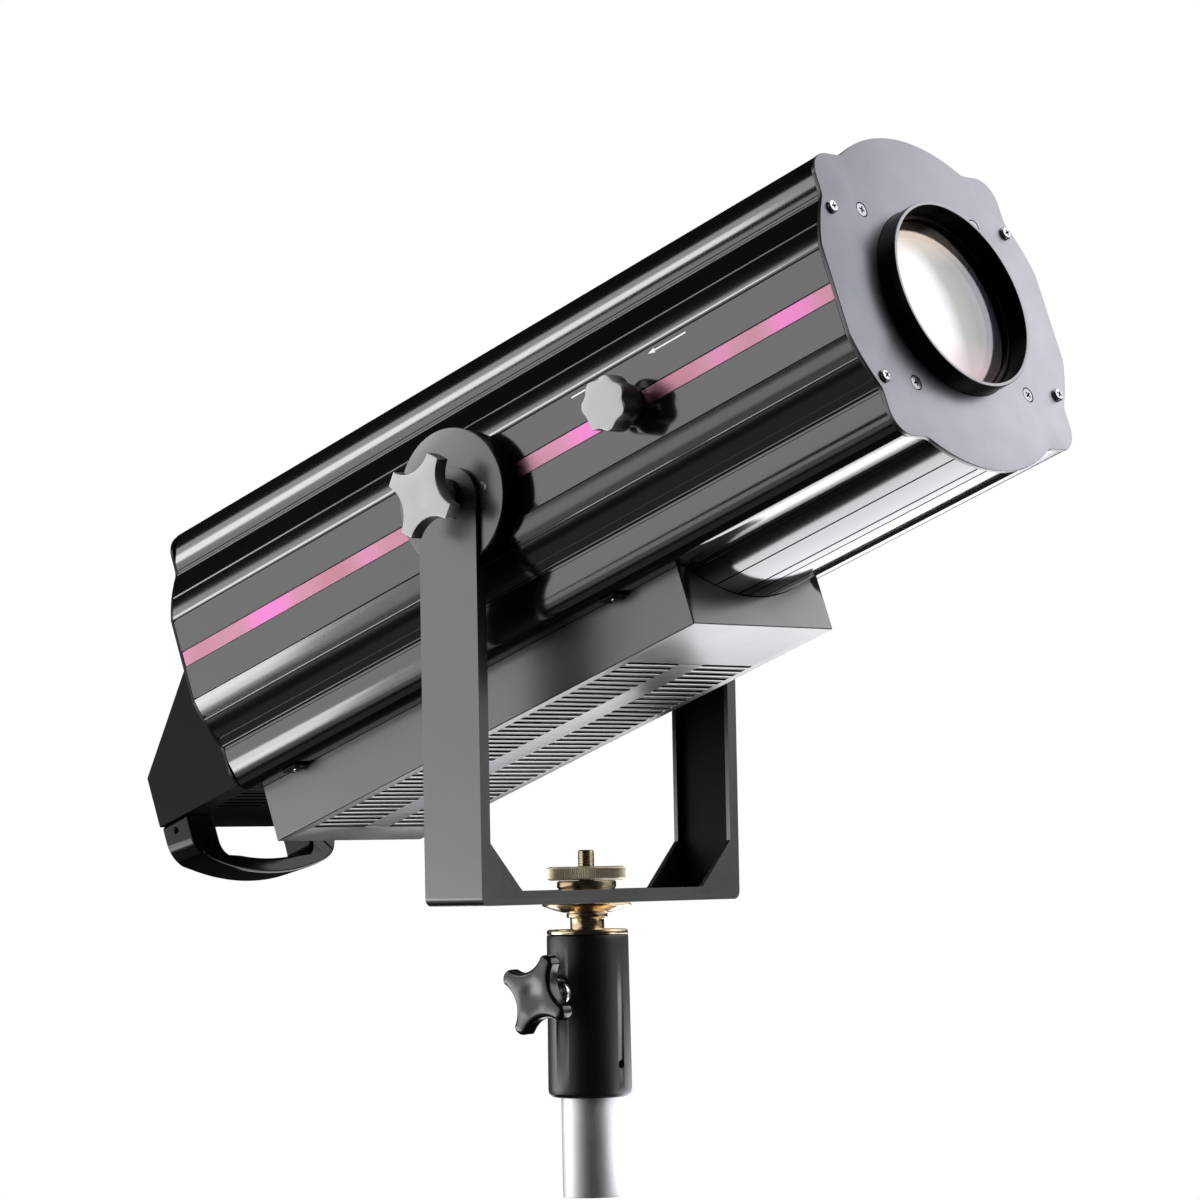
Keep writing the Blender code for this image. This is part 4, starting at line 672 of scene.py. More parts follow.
extrusion("housing_top", crown_panel(1))
extrusion("housing_bottom", crown_panel(-1))
extrusion("housing_near", side_panel(-1))
extrusion("housing_far", side_panel(1))
for name, s in (("stripe_near", -1), ("stripe_far", 1)):
    y1 = FLAT - INSET - 0.35 * MM
    y0 = y1 - 0.8 * MM
    lo, hi = sorted((s * y0, s * y1))
    piece(name + "_finish", plate([rect(A_REAR, -4.7 * MM, A_FRONT, 4.7 * MM)], -hi, -lo), STRIPE, "lamp", build=SIDE,
          replaces=name, bevel=0.2 * MM)

# printed arrows beside the focus knob, a few hundredths proud of the paint
y = -(FLAT - INSET) - 0.03 * MM
ink = bmesh.new()
for x0, x1, head in ((95.5, 122.5, 1), (157.0, 186.5, -1)):
    v = 22.3 * MM
    tip, tail = (x1, x0) if head > 0 else (x0, x1)
    slab(ink, [[(tail * MM, v - 0.42 * MM), ((tip - head * 4.5) * MM, v - 0.42 * MM), ((tip - head * 5.5) * MM, v - 1.5 * MM),
                (tip * MM, v), ((tip - head * 5.5) * MM, v + 1.5 * MM), ((tip - head * 4.5) * MM, v + 0.42 * MM),
                (tail * MM, v + 0.42 * MM)]], -y - 0.02 * MM, -y)
piece("focus_arrows", ink, WHITE_INK, "lamp", build=SIDE)

# ------------------------------------------------------------ front
a0, a1 = A_FRONT + GAP, A_FRONT + GAP + PLATE_T
OUTER = [(sy * 81.8 * MM, sv * 51.4 * MM) for sy in (1, -1) for sv in (1, -1)]
INNER = [(sy * 53.0 * MM, sv * 53.0 * MM) for sy in (1, -1) for sv in (1, -1)]
holes = [circle(2.2 * MM, 24, *c) for c in OUTER]
edge = 0.5 * MM
bm = bmesh.new()
rings = []
for e, h in ((edge, a0), (0.0, a0 + edge), (0.0, a1 - edge), (edge * 0.3, a1 - edge * 0.3), (edge, a1)):
    rings.append([bm.verts.new((y, v, h)) for y, v in outline(e)])
for r0, r1 in zip(rings[:-2], rings[1:-1]):
    for i in range(len(r0)):
        j = (i + 1) % len(r0)
        bm.faces.new((r0[i], r0[j], r1[j], r1[i])).material_index = 1
for i in range(len(rings[0])):
    j = (i + 1) % len(rings[0])
    bm.faces.new((rings[-2][i], rings[-2][j], rings[-1][j], rings[-1][i]))
back = [[bm.verts.new((x, yy, a0)) for x, yy in lp] for lp in [circle(57.75 * MM, 144)] + holes
        + [circle(2.2 * MM, 24, *c) for c in INNER]]
front = [[bm.verts.new((x, yy, a1)) for x, yy in lp] for lp in [circle(57.75 * MM, 144)] + holes
         + [circle(4.75 * MM, 32, *c) for c in INNER]]
cap(bm, [rings[0]] + back)
cap(bm, [rings[-1]] + front)
for r0, r1 in zip(back, front):
    for i in range(len(r0)):
        j = (i + 1) % len(r0)
        bm.faces.new((r0[i], r0[j], r1[j], r1[i]))
ob = piece("front_plate_finish", bm, PLATE, "lamp", build=SEC, replaces="front_plate", angle=26)
ob.data.materials.append(SHEET)


def cross_head(name, profile, at, turn, node, size, depth, top, mat=HEADS):
    """Screw with a cross recess; `at` places its axis."""
    ob = piece(name, lathe(profile, 40), mat, "lamp", build=at @ Matrix.Rotation(turn, 4, 'Z'), replaces=node or (),
               angle=40)
    bm = bmesh.new()
    w, l = size * 0.25, size
    cross = [(w, w), (w, l), (-w, l), (-w, w), (-l, w), (-l, -w), (-w, -w), (-w, -l), (w, -l), (w, -w), (l, -w), (l, w)]
    deep = [(x * 0.45, yy * 0.45) for x, yy in cross]
    slab(bm, [deep], top - depth, top + 1.0 * MM, [cross])
    c = cutter(name + "_recess", bm, LAMP, "lamp", build=at @ Matrix.Rotation(turn, 4, 'Z'))
    # the cross recess takes the near-black recess material: painted shade
    c.data.materials.append(RECESS_SHADE)
    cut(ob, c).material_mode = 'TRANSFER'
    return ob


for i, ((y, v), (yi, vi)) in enumerate(zip(OUTER, INNER)):
    where = ("upper" if v > 0 else "lower") + ("_far" if y > 0 else "_near")
    dome = [(0.0, a1 + 2.5 * MM), (2.3 * MM, a1 + 2.44 * MM), (3.0 * MM, a1 + 2.28 * MM), (3.5 * MM, a1 + 1.95 * MM),
            (3.8 * MM, a1 + 1.5 * MM), (3.9 * MM, a1 + 1.0 * MM)]
    cross_head("plate_screw_finish_" + where,
               dome + [(3.9 * MM, a1 + GAP), (1.95 * MM, a1 + GAP), (1.95 * MM, a1 - 8 * MM), (0, a1 - 8 * MM)],
               Matrix.Translation((0, y, v)) @ ALONG, math.radians(20 + 37 * i), "plate_screw_" + where, 2.5 * MM,
               2.2 * MM, a1 + 2.5 * MM, mat=PANS)
    cross_head("flange_screw_finish_" + where,
               [(0, a1 + 0.15 * MM), (2.4 * MM, a1 + 0.10 * MM), (4.0 * MM, a1 - 0.15 * MM), (1.95 * MM, a1 - 2.4 * MM),
                (1.95 * MM, a1 - 7 * MM), (0, a1 - 7 * MM)],
               Matrix.Translation((0, yi, vi)) @ ALONG, math.radians(5 + 31 * i), "flange_screw_" + where, 2.7 * MM,
               2.0 * MM, a1 + 0.15 * MM)

f1 = A_FRONT - GAP
f0 = f1 - 3.0 * MM
seat = a1 - 8.0 * MM
RIM = a1 + 12.9 * MM
hood = soften([(55.2 * MM, RIM), (57.2 * MM, RIM), (57.4 * MM, RIM - 0.9 * MM), (57.4 * MM, f1), (79.0 * MM, f1),
               (79.0 * MM, f0), (57.4 * MM, f0), (57.4 * MM, f0 - 12 * MM), (49.0 * MM, f0 - 12 * MM), (49.0 * MM, seat),
               (55.0 * MM, seat), (55.0 * MM, RIM - 1.0 * MM)], 0.45 * MM, 3)
bm = lathe(hood, 144)
for f in bm.faces:
    if f.calc_center_median().z > RIM - 0.35 * MM:
        f.material_index = 1
ob = piece("lens_barrel_finish", bm, SATIN, "lamp", build=ALONG, replaces="lens_barrel", angle=30)
ob.data.materials.append(EDGE)
edge_a = seat + GAP
shoulder = edge_a + 4.0 * MM
LENS_R, SAG = 54.6 * MM, 11.5 * MM
rs = (LENS_R ** 2 + SAG ** 2) / (2 * SAG)
prof = [(0.0, edge_a), (LENS_R - 0.3 * MM, edge_a), (LENS_R, edge_a + 0.3 * MM), (LENS_R, shoulder)]
N = 30
for i in range(1, N + 1):
    r = LENS_R * (1 - i / N)
    prof.append((r, shoulder + SAG - (rs - math.sqrt(rs * rs - r * r))))
LENS = lens_with_painted_reflection()
piece("front_lens_finish", lathe(prof, 144), LENS, "lamp", build=ALONG, replaces="front_lens", angle=40)
zr = shoulder + 2.0 * MM
piece("lens_ring_finish", lathe(soften([
    (54.7 * MM, zr + 2.6 * MM), (54.7 * MM, zr - 1.4 * MM), (53.9 * MM, zr - 0.9 * MM), (52.9 * MM, zr + 0.2 * MM),
    (52.9 * MM, zr + 2.6 * MM)], 0.3 * MM, 3), 144), SATIN, "lamp", build=ALONG, replaces="lens_retaining_ring", angle=35)


# ------------------------------------------------------------ knobs
def three_point_arc(p, q, r, n):
    (ax, ay), (bx, by), (cx, cy) = p, q, r
    d = 2 * (ax * (by - cy) + bx * (cy - ay) + cx * (ay - by))
    ux = ((ax * ax + ay * ay) * (by - cy) + (bx * bx + by * by) * (cy - ay) + (cx * cx + cy * cy) * (ay - by)) / d
    uy = ((ax * ax + ay * ay) * (cx - bx) + (bx * bx + by * by) * (ax - cx) + (cx * cx + cy * cy) * (bx - ax)) / d
    rad = math.hypot(ax - ux, ay - uy)
    a = [math.atan2(yy - uy, x - ux) for x, yy in (p, q, r)]
    for k in (1, 2):
        while a[k] - a[k - 1] > math.pi:
            a[k] -= 2 * math.pi
        while a[k] - a[k - 1] < -math.pi:
            a[k] += 2 * math.pi
    return [(ux + rad * math.cos(a[0] + (a[2] - a[0]) * i / n), uy + rad * math.sin(a[0] + (a[2] - a[0]) * i / n))
            for i in range(n)]


def star(n, r_tip, r_valley, tip_w, turn_deg, seg=16, bulge=0.0, corner=1.6 * MM):
    pts = []
    for k in range(n):
        a = math.radians(turn_deg) + 2 * math.pi * k / n
        b = a + 2 * math.pi / n
        m = (a + b) / 2
        u, w = (math.cos(a), math.sin(a)), (math.cos(b), math.sin(b))
        h = tip_w / 2
        left = (r_tip * u[0] - h * u[1], r_tip * u[1] + h * u[0])
        back_ = (r_tip * u[0] + h * u[1], r_tip * u[1] - h * u[0])
        right = (r_tip * w[0] + h * w[1], r_tip * w[1] - h * w[0])
        top = ((r_tip + bulge) * u[0], (r_tip + bulge) * u[1])
        pts += three_point_arc(back_, top, left, 8)
        pts += three_point_arc(left, (r_valley * math.cos(m), r_valley * math.sin(m)), right, seg)
    return soften(pts, corner, 4)


def inset_loop(pts, d):
    """Closed counter-clockwise loop moved inwards by d."""
    n = len(pts)
    out = []
    for i in range(n):
        p, a, b = Vector(pts[i]), Vector(pts[i - 1]), Vector(pts[(i + 1) % n])
        u, w = (p - a).normalized(), (b - p).normalized()
        na, nb = Vector((-u.y, u.x)), Vector((-w.y, w.x))
        m = (na + nb).normalized()
        out.append(tuple(p + m * d / max(m.dot(na), 0.6)))
    return out


def knob(name, node, body, frame_m, build, pts, hub_r, hub_len, arm_t, rnd=1.8 * MM, dish=0.5 * MM, foot_chamfer=0.6 * MM,
         mat=KNOBS, centre=8.0 * MM):
    """Lobed knob along build +Z: hub from 0, arms above it, all edges rounded, a shallow dish on its face."""
    bm = bmesh.new()
    z0, z1 = hub_len, hub_len + arm_t
    steps = []
    k = 5
    for i in range(k + 1):
        a = math.radians(90 * i / k)
        steps.append((rnd * (1 - math.sin(a)), z0 + rnd * (1 - math.cos(a))))
    for i in range(k + 1):
        a = math.radians(90 * i / k)
        steps.append((rnd * (1 - math.cos(a)), z1 - rnd * (1 - math.sin(a))))
    rings = [[bm.verts.new((x, yy, h)) for x, yy in inset_loop(pts, d)] for d, h in steps]
    n = len(pts)
    for r0, r1 in zip(rings, rings[1:]):
        for i in range(n):
            j = (i + 1) % n
            bm.faces.new((r0[i], r0[j], r1[j], r1[i]))
    rimc = [bm.verts.new((x, yy, z1)) for x, yy in circle(centre, 48)]
    cap(bm, [rings[-1], rimc])
    low = [bm.verts.new((x, yy, z1 - dish)) for x, yy in circle(centre - 1.2 * MM, 48)]
    for i in range(48):
        j = (i + 1) % 48
        bm.faces.new((rimc[i], rimc[j], low[j], low[i]))
    top = bm.verts.new((0, 0, z1 - dish + 0.05 * MM))
    for i in range(48):
        bm.faces.new((low[i], low[(i + 1) % 48], top))
    hub = [[bm.verts.new((x, yy, h)) for x, yy in circle(r, 48)] for r, h in (
        (hub_r + 1.2 * MM, z0), (hub_r, z0 - 1.2 * MM), (hub_r * 0.97, foot_chamfer), (hub_r * 0.97 - foot_chamfer, 0))]
    cap(bm, [rings[0], hub[0]])
    for r0, r1 in zip(hub, hub[1:]):
        for i in range(48):
            j = (i + 1) % 48
            bm.faces.new((r0[i], r0[j], r1[j], r1[i]))
    bm.faces.new(hub[-1])
    return piece(name, bm, mat, body, frame_m=frame_m, build=build, replaces=node, angle=38)


FOOT = YOKE_HALF + GAP
FACE = 141.5 * MM
NEAR = Matrix(((1, 0, 0, 0), (0, 0, -1, 0), (0, 1, 0, 0), (0, 0, 0, 1)))
FAR = Matrix(((-1, 0, 0, 0), (0, 0, 1, 0), (0, 1, 0, 0), (0, 0, 0, 1)))
base = star(4, 24.9 * MM, 14.8 * MM, 9.4 * MM, -26.0, bulge=0.1 * MM, corner=0.7 * MM)
for side, f, turn in (("near", NEAR, -TILT), ("far", FAR, TILT)):
    c, s = math.cos(turn), math.sin(turn)
    p = [(x * c - yy * s, x * s + yy * c) for x, yy in base]
    knob("tilt_knob_finish_" + side, "tilt_knob_" + side, "tilt_knob_" + side, LAMP,
         f @ Matrix.Translation((0, 0, FOOT + 2.0 * MM)), p, 10.0 * MM, FACE - FOOT - 11.0 * MM, 9.0 * MM, rnd=0.55 * MM, dish=0.12 * MM, centre=6.0 * MM)
    piece("tilt_washer_" + side, lathe(soften([(10.8 * MM, 1.7 * MM), (10.8 * MM, 0), (5.5 * MM, 0), (5.5 * MM, 1.7 * MM)],
                                              0.4 * MM, 3), 64), SATIN, "tilt_knob_" + side,
          build=f @ Matrix.Translation((0, 0, FOOT)))

# focus knob: seven shallow lobes on a waisted skirt
n_l, seg_l = 7, 14
ring_pts = []
for i in range(n_l * seg_l):
    a = 2 * math.pi * i / (n_l * seg_l)
    r = 16.6 * MM - 2.0 * MM * (0.5 - 0.5 * math.cos(n_l * a)) ** 1.1
    ring_pts.append((r * math.cos(a + math.radians(12)), r * math.sin(a + math.radians(12))))
bm = bmesh.new()
h = 22.5 * MM
count = len(ring_pts)
shape = [(circle(10.4 * MM, count, 0, 0, math.radians(12)), 0.0), (circle(11.0 * MM, count, 0, 0, math.radians(12)), 0.6 * MM),
         (circle(11.6 * MM, count, 0, 0, math.radians(12)), 4.0 * MM)]
for k, u in ((0.80, 5.2), (0.90, 6.6), (0.96, 8.2), (0.99, 10.0)):
    shape.append(([(x * k, yy * k) for x, yy in ring_pts], u * MM))
shape.append((ring_pts, 13.0 * MM))
shape.append((ring_pts, h - 0.9 * MM))
for i in range(1, 6):
    a = math.radians(90 * i / 5)
    shape.append((inset_loop(ring_pts, 0.8 * MM * (1 - math.cos(a))), h - 0.9 * MM + 0.8 * MM * math.sin(a)))
shape.append(([(x * 0.6, yy * 0.6) for x, yy in ring_pts], h - 0.04 * MM))
rings = [[bm.verts.new((x, yy, hh)) for x, yy in p] for p, hh in shape]
for r0, r1 in zip(rings, rings[1:]):
    for i in range(count):
        j = (i + 1) % count
        bm.faces.new((r0[i], r0[j], r1[j], r1[i]))
top = bm.verts.new((0, 0, h))
for i in range(count):
    bm.faces.new((rings[-1][i], rings[-1][(i + 1) % count], top))
bm.faces.new(rings[0])
piece("focus_knob_finish", bm, KNOBS, "focus_control",
      build=Matrix.Translation((FOCUS_A, 0, 0)) @ SIDE @ Matrix.Translation((0, 0, FLAT - INSET + 1.2 * MM)),
      replaces="focus_knob", angle=40)

# ------------------------------------------------------------ tilt hubs and discs
y0 = FLAT - INSET + GAP
y2 = YOKE_HALF - YOKE_T - GAP
y1 = y2 - 2.0 * MM
for side, axis in (("near", '-Y'), ("far", '+Y')):
    piece("pivot_hub_finish_" + side, lathe(soften([
        (0, FACE - 3.5 * MM), (5.0 * MM, FACE - 3.5 * MM), (5.0 * MM, y1 - GAP), (40.0 * MM, y1 - GAP),
        (40.0 * MM, y0), (4.0 * MM, y0), (4.0 * MM, 84.0 * MM), (0, 84.0 * MM)], 0.8 * MM, 3), 96), SATIN, "lamp",
        build=axis_frame(axis), replaces="pivot_hub_" + side, angle=35)
    piece("friction_disc_finish_" + side, lathe(soften([
        (41.0 * MM, y2), (41.0 * MM, y1), (5.5 * MM, y1), (5.5 * MM, y2)], 0.4 * MM, 3), 96), POWDER, "lamp",
        build=axis_frame(axis), replaces="friction_disc_" + side, angle=35)
    for k, an in enumerate((-9.0, 171.0)):
        s_ = -1 if side == "near" else 1
        x, v = 25.5 * MM * math.cos(math.radians(an)), 25.5 * MM * math.sin(math.radians(an))
        cross_head("disc_screw_%s_%d" % (side, k + 1), [(0, 0.1 * MM), (2.6 * MM, 0.05 * MM), (3.1 * MM, -0.1 * MM), (1.5 * MM, -1.6 * MM),
                   (0, -1.6 * MM)], Matrix.Translation((x, s_ * y2, v)) @ axis_frame(axis), math.radians(24 + 50 * k),
                   None, 1.8 * MM, 1.2 * MM, 0.1 * MM)


# ------------------------------------------------------------ yoke
def ribbon(path, half, thick, width_at):
    """Bent strip along a (y, z) path; width_at gives its half width at each path point."""
    inner = offset(path, -thick)
    bm = bmesh.new()
    rows = []
    for (yo, zo), (yi, zi), w in zip(path, inner, width_at):
        rows.append([bm.verts.new(p) for p in ((-w, yo, zo), (w, yo, zo), (w, yi, zi), (-w, yi, zi))])
    for r0, r1 in zip(rows, rows[1:]):
        for i in range(4):
            j = (i + 1) % 4
            bm.faces.new((r0[i], r0[j], r1[j], r1[i]))
    bm.faces.new(rows[0])
    bm.faces.new(rows[-1])
    return bm


ARM_TOP, CORNER, BEND = 255.2 * MM, 18.0 * MM, 5.0 * MM
right = arc(YOKE_HALF - BEND, BEND, BEND, -90, 0, 10)
top_z = [ARM_TOP - CORNER + CORNER * math.sin(math.radians(90 * i / 14)) for i in range(15)]
arm = [(YOKE_HALF, z) for z in top_z]
half_w = [YOKE_W - CORNER + CORNER * math.cos(math.radians(90 * i / 14)) for i in range(15)]
half_path = right + arm
widths = [YOKE_W] * len(right) + half_w
path = [(-yy, z) for yy, z in reversed(half_path)] + half_path
widths = widths[::-1] + widths
path = [(yy, z + YOKE_Z) for yy, z in path]
bm = ribbon(path, YOKE_HALF, YOKE_T, widths)
bmesh.ops.recalc_face_normals(bm, faces=bm.faces)
# the arms' inner faces take the matt black in place of the powder coat: painted shade where the lamp body shades them
for f in bm.faces:
    if f.normal.y * f.calc_center_median().y < 0 and abs(f.normal.y) > 0.9:
        f.material_index = 1
ob = piece("yoke_finish", bm, POWDER, "pan_head", frame_m=WORLD, replaces="yoke", bevel=1.1 * MM, seg=3, bevel_angle=50)
ob.data.materials.append(MATT)


def bent(half, top, low, r, n=8):
    rt = arc(half - r, low + r, r, -90, 0, n)
    lt = [(-yy, z) for yy, z in reversed(rt)]
    return [(-half, top)] + lt + rt + [(half, top)]


o2 = bent(YOKE_HALF - 1.3 * MM, 196.0 * MM, 1.3 * MM, 4.0 * MM)
i2 = [(YOKE_HALF - FLANGE, 196.0 * MM), (YOKE_HALF - FLANGE, 36.2 * MM), (82.4 * MM, 8.0 * MM), (-82.4 * MM, 8.0 * MM),
      (-YOKE_HALF + FLANGE, 36.2 * MM), (-YOKE_HALF + FLANGE, 196.0 * MM)]
bm = plate([o2 + i2], YOKE_W - YOKE_T, YOKE_W - 0.02 * MM)
slab(bm, [o2 + i2], -YOKE_W + 0.02 * MM, -YOKE_W + YOKE_T)
ob = piece("yoke_edges", bm, POWDER, "pan_head", frame_m=WORLD, build=Matrix.Translation((0, 0, YOKE_Z)) @ SEC,
           bevel=0.5 * MM, seg=2)


# ------------------------------------------------------------ stand head
def turned(name, node, profile, mat, body, rnd=0.5 * MM, n=96, build=None, frame_m=WORLD, k=3):
    return piece(name, lathe(soften(profile, rnd, k), n), mat, body, frame_m=frame_m, build=build, replaces=node, angle=35)


def thread(bm, r, z0, z1, pitch, depth, n=40):
    """Helical ridge wound on a shaft, as an open-ended strip with a triangular section let into the shaft."""
    turns = (z1 - z0) / pitch
    steps = int(turns * n)
    rows = []
    for i in range(steps + 1):
        u = i / n
        a = 2 * math.pi * u
        z = z0 + pitch * u
        fade = min(1.0, i / n * 2, (steps - i) / n * 2)
        rr = r + depth * fade
        c, s = math.cos(a), math.sin(a)
        rows.append([bm.verts.new((x * c, x * s, zz)) for x, zz in (
            (r - 0.25 * MM, z - pitch * 0.44), (rr, z - pitch * 0.06), (rr, z + pitch * 0.06), (r - 0.25 * MM, z + pitch * 0.44))])
    for r0, r1 in zip(rows, rows[1:]):
        for i in range(4):
            j = (i + 1) % 4
            bm.faces.new((r0[i], r0[j], r1[j], r1[i]))
    bm.faces.new(rows[0])
    bm.faces.new(rows[-1])
    return bm


SOCKET = paint("socket_black", (0.003, 0.003, 0.0035), (0.006, 0.006, 0.0065), 0.42, 0.04, grain=1300.0, depth=0.00003,
               f0=0.065, strength=0.20)
turned("stand_tube_finish", "stand_tube", [(17.5 * MM, 101.5 * MM), (17.5 * MM, 0.0), (15.5 * MM, 0.0), (15.5 * MM, 101.5 * MM)],
       SILVER, "stand", 0.3 * MM, 128)
sock = turned("stand_socket_finish", "stand_socket", [
    (24.4 * MM, 156.0 * MM), (24.5 * MM, 152.0 * MM), (25.1 * MM, 64.0 * MM), (24.6 * MM, 61.4 * MM), (22.8 * MM, 59.7 * MM), (21.1 * MM, 59.2 * MM),
    (17.8 * MM, 59.2 * MM), (17.8 * MM, 102.0 * MM), (14.3 * MM, 102.0 * MM), (14.3 * MM, 156.0 * MM)], SOCKET, "stand",
    0.8 * MM, 128)
cut(sock, cutter("socket_set_hole", lathe([(0, 0), (2.6 * MM, 0), (2.6 * MM, 32 * MM), (0, 32 * MM)], 40), WORLD, "stand",
                 build=axis_frame('+X', (0, 0, 79.0 * MM))))
cut(sock, cutter("socket_clamp_hole", lathe([(0, 0), (4.6 * MM, 0), (4.6 * MM, 30 * MM), (0, 30 * MM)], 40), WORLD, "stand",
                 build=axis_frame('-Y', (0, 0, 121.4 * MM))))
bolt = lathe(soften([
    (0, 43 * MM), (3.6 * MM, 43 * MM), (3.6 * MM, 30.4 * MM), (9.5 * MM, 30.2 * MM), (9.5 * MM, 26.0 * MM), (3.7 * MM, 25.6 * MM),
    (3.7 * MM, 14.4 * MM), (0, 14.4 * MM)], 0.5 * MM, 3), 64)
thread(bolt, 3.65 * MM, 30.8 * MM, 42.5 * MM, 1.25 * MM, 0.3 * MM)
piece("socket_bolt_finish", bolt, CHROME, "socket_clamp", frame_m=WORLD, build=axis_frame('-Y', (0, 0, 121.4 * MM)),
      replaces="socket_clamp_bolt", angle=35)
knob("socket_knob_finish", "socket_knob", "socket_clamp", WORLD, axis_frame('-Y', (0, -31.0 * MM, 121.4 * MM)),
     star(4, 23.2 * MM, 14.5 * MM, 10.0 * MM, 62.5, bulge=2.8 * MM), 8.0 * MM, 9.5 * MM, 11.0 * MM, rnd=3.0 * MM, dish=0.4 * MM,
     centre=6.5 * MM, mat=GRIP)

spig = lathe(soften([
    (0, 206.7 * MM), (3.9 * MM, 206.7 * MM), (4.72 * MM, 205.8 * MM), (4.72 * MM, 169.0 * MM), (12.3 * MM, 169.0 * MM),
    (12.3 * MM, 166.4 * MM), (10.2 * MM, 165.8 * MM), (10.2 * MM, 159.2 * MM), (23.4 * MM, 159.2 * MM), (24.3 * MM, 158.3 * MM),
    (24.3 * MM, 156.3 * MM), (14.0 * MM, 156.3 * MM), (14.0 * MM, 104.5 * MM), (0, 104.5 * MM)], 0.4 * MM, 3), 96)
thread(spig, 4.7 * MM, 190.0 * MM, 205.6 * MM, 1.5 * MM, 0.3 * MM, 48)
piece("spigot_finish", spig, ZINC, "pan_head", frame_m=WORLD, replaces="spigot", angle=35)
z = YOKE_Z
turned("cup_washer_finish", "cup_washer", [
    (5.4 * MM, z - 4.3 * MM), (13.6 * MM, z - 4.3 * MM), (18.0 * MM, z - 3.1 * MM), (22.0 * MM, z - 1.4 * MM), (26.7 * MM, z - GAP),
    (26.9 * MM, z - 1.6 * MM), (22.6 * MM, z - 3.2 * MM), (18.4 * MM, z - 4.7 * MM), (14.2 * MM, z - 5.7 * MM),
    (5.4 * MM, z - 5.7 * MM)], ZINC, "pan_head", 0.3 * MM, 96)
z = YOKE_Z + YOKE_T
turned("clamp_collar_finish", "clamp_collar", [
    (5.4 * MM, z + 10.3 * MM), (16.9 * MM, z + 10.3 * MM), (17.8 * MM, z + 9.4 * MM), (17.8 * MM, z + 6.2 * MM), (17.0 * MM, z + 5.8 * MM),
    (17.0 * MM, z + 4.4 * MM), (17.8 * MM, z + 4.0 * MM), (17.8 * MM, z + GAP), (5.4 * MM, z + GAP)], ZINC, "pan_head", 0.35 * MM, 96)
z += 10.6 * MM
bm = bmesh.new()
teeth = 118


def grip(r, amp):
    return [((r - amp * (i % 2)) * math.cos(math.pi * i / teeth), (r - amp * (i % 2)) * math.sin(math.pi * i / teeth))
            for i in range(2 * teeth)]


levels = [(21.6, 0.0, 0.0), (23.0, 0.0, 0.5), (23.55, 0.45, 1.1), (23.55, 0.45, 7.1), (23.0, 0.0, 7.7), (21.6, 0.0, 8.2)]
rings = [[bm.verts.new((x, yy, z + hh * MM)) for x, yy in grip(r * MM, am * MM)] for r, am, hh in levels]
for r0, r1 in zip(rings, rings[1:]):
    for i in range(2 * teeth):
        j = (i + 1) % (2 * teeth)
        bm.faces.new((r0[i], r0[j], r1[j], r1[i]))
ends = [[bm.verts.new((x, yy, hh)) for x, yy in circle(r, 48)] for r, hh in (
    (5.3 * MM, z), (5.3 * MM, z + 7.4 * MM), (6.1 * MM, z + 8.2 * MM))]
cap(bm, [rings[0], ends[0]])
cap(bm, [rings[-1], ends[-1]])
for r0, r1 in zip(ends, ends[1:]):
    for i in range(48):
        j = (i + 1) % 48
        bm.faces.new((r0[i], r0[j], r1[j], r1[i]))
piece("knurled_nut_finish", bm, KNURL, "nut", frame_m=WORLD, replaces="knurled_nut", angle=20)

# ------------------------------------------------------------ supply tray
x0, x1, ty, z0 = -250.5 * MM, 107.0 * MM, 64.5 * MM, -121.5 * MM
z1 = -(LOBE_TOP - INSET) - GAP
t = 1.2 * MM
bm = bmesh.new()
weight = bm.edges.layers.float.get("bevel_weight_edge") or bm.edges.layers.float.new("bevel_weight_edge")
slots = []
for i in range(41):
    a = (-224.5 + 271.0 * i / 40) * MM
    for s in (-1, 1):
        ya, yb = sorted((s * 10.5 * MM, s * 57.0 * MM))
        r = 1.5 * MM
        slots.append(arc(a, yb - r, r, 0, 180, 6) + arc(a, ya + r, r, 180, 360, 6))
outer, inner = rect(x0, -ty, x1, ty), rect(x0 + t, -ty + t, x1 - t, ty - t)
low = [[bm.verts.new((*p, z0)) for p in lp] for lp in [outer] + slots]
high = [[bm.verts.new((*p, z0 + t)) for p in lp] for lp in [inner] + slots]
cap(bm, low)
cap(bm, high)
for a, b in list(zip(low, high))[1:]:
    for i in range(len(a)):
        bm.faces.new((a[i], a[(i + 1) % len(a)], b[(i + 1) % len(a)], b[i])).material_index = 1
rim_o = [bm.verts.new((*p, z1)) for p in outer]
rim_i = [bm.verts.new((*p, z1)) for p in inner]
for i in range(4):
    j = (i + 1) % 4
    bm.faces.new((low[0][i], low[0][j], rim_o[j], rim_o[i]))
    bm.faces.new((high[0][i], high[0][j], rim_i[j], rim_i[i]))
    bm.faces.new((rim_o[i], rim_o[j], rim_i[j], rim_i[i]))
    for pair in ((low[0][i], low[0][j]), (low[0][i], rim_o[i])):
        bm.edges.get(pair)[weight] = 1.0
tray = piece("psu_cover_finish", bm, SHEET, "lamp", replaces="psu_cover", bevel=0.9 * MM, seg=3, weights=True)
tray.data.materials.append(MATT)
cut(tray, cutter("tray_end_cut", plate([circle(BODY_R - INSET + 0.45 * MM, 160, 0, BODY_C)], x0 - 5 * MM, x1 + 5 * MM), LAMP,
                 "lamp", build=SEC), first=False)
bm = bmesh.new()
for a in (-215 * MM, 60 * MM):
    for s in (-1, 1):
        ya, yb = sorted((s * (ty - 0.6 * MM), s * 76 * MM))
        slab(bm, [rounded_rect(a - 7 * MM, ya, a + 7 * MM, yb, 2 * MM, 4)], z1 - t, z1 - 0.05 * MM)
piece("tray_tabs", bm, MATT, "lamp", bevel=0.2 * MM)
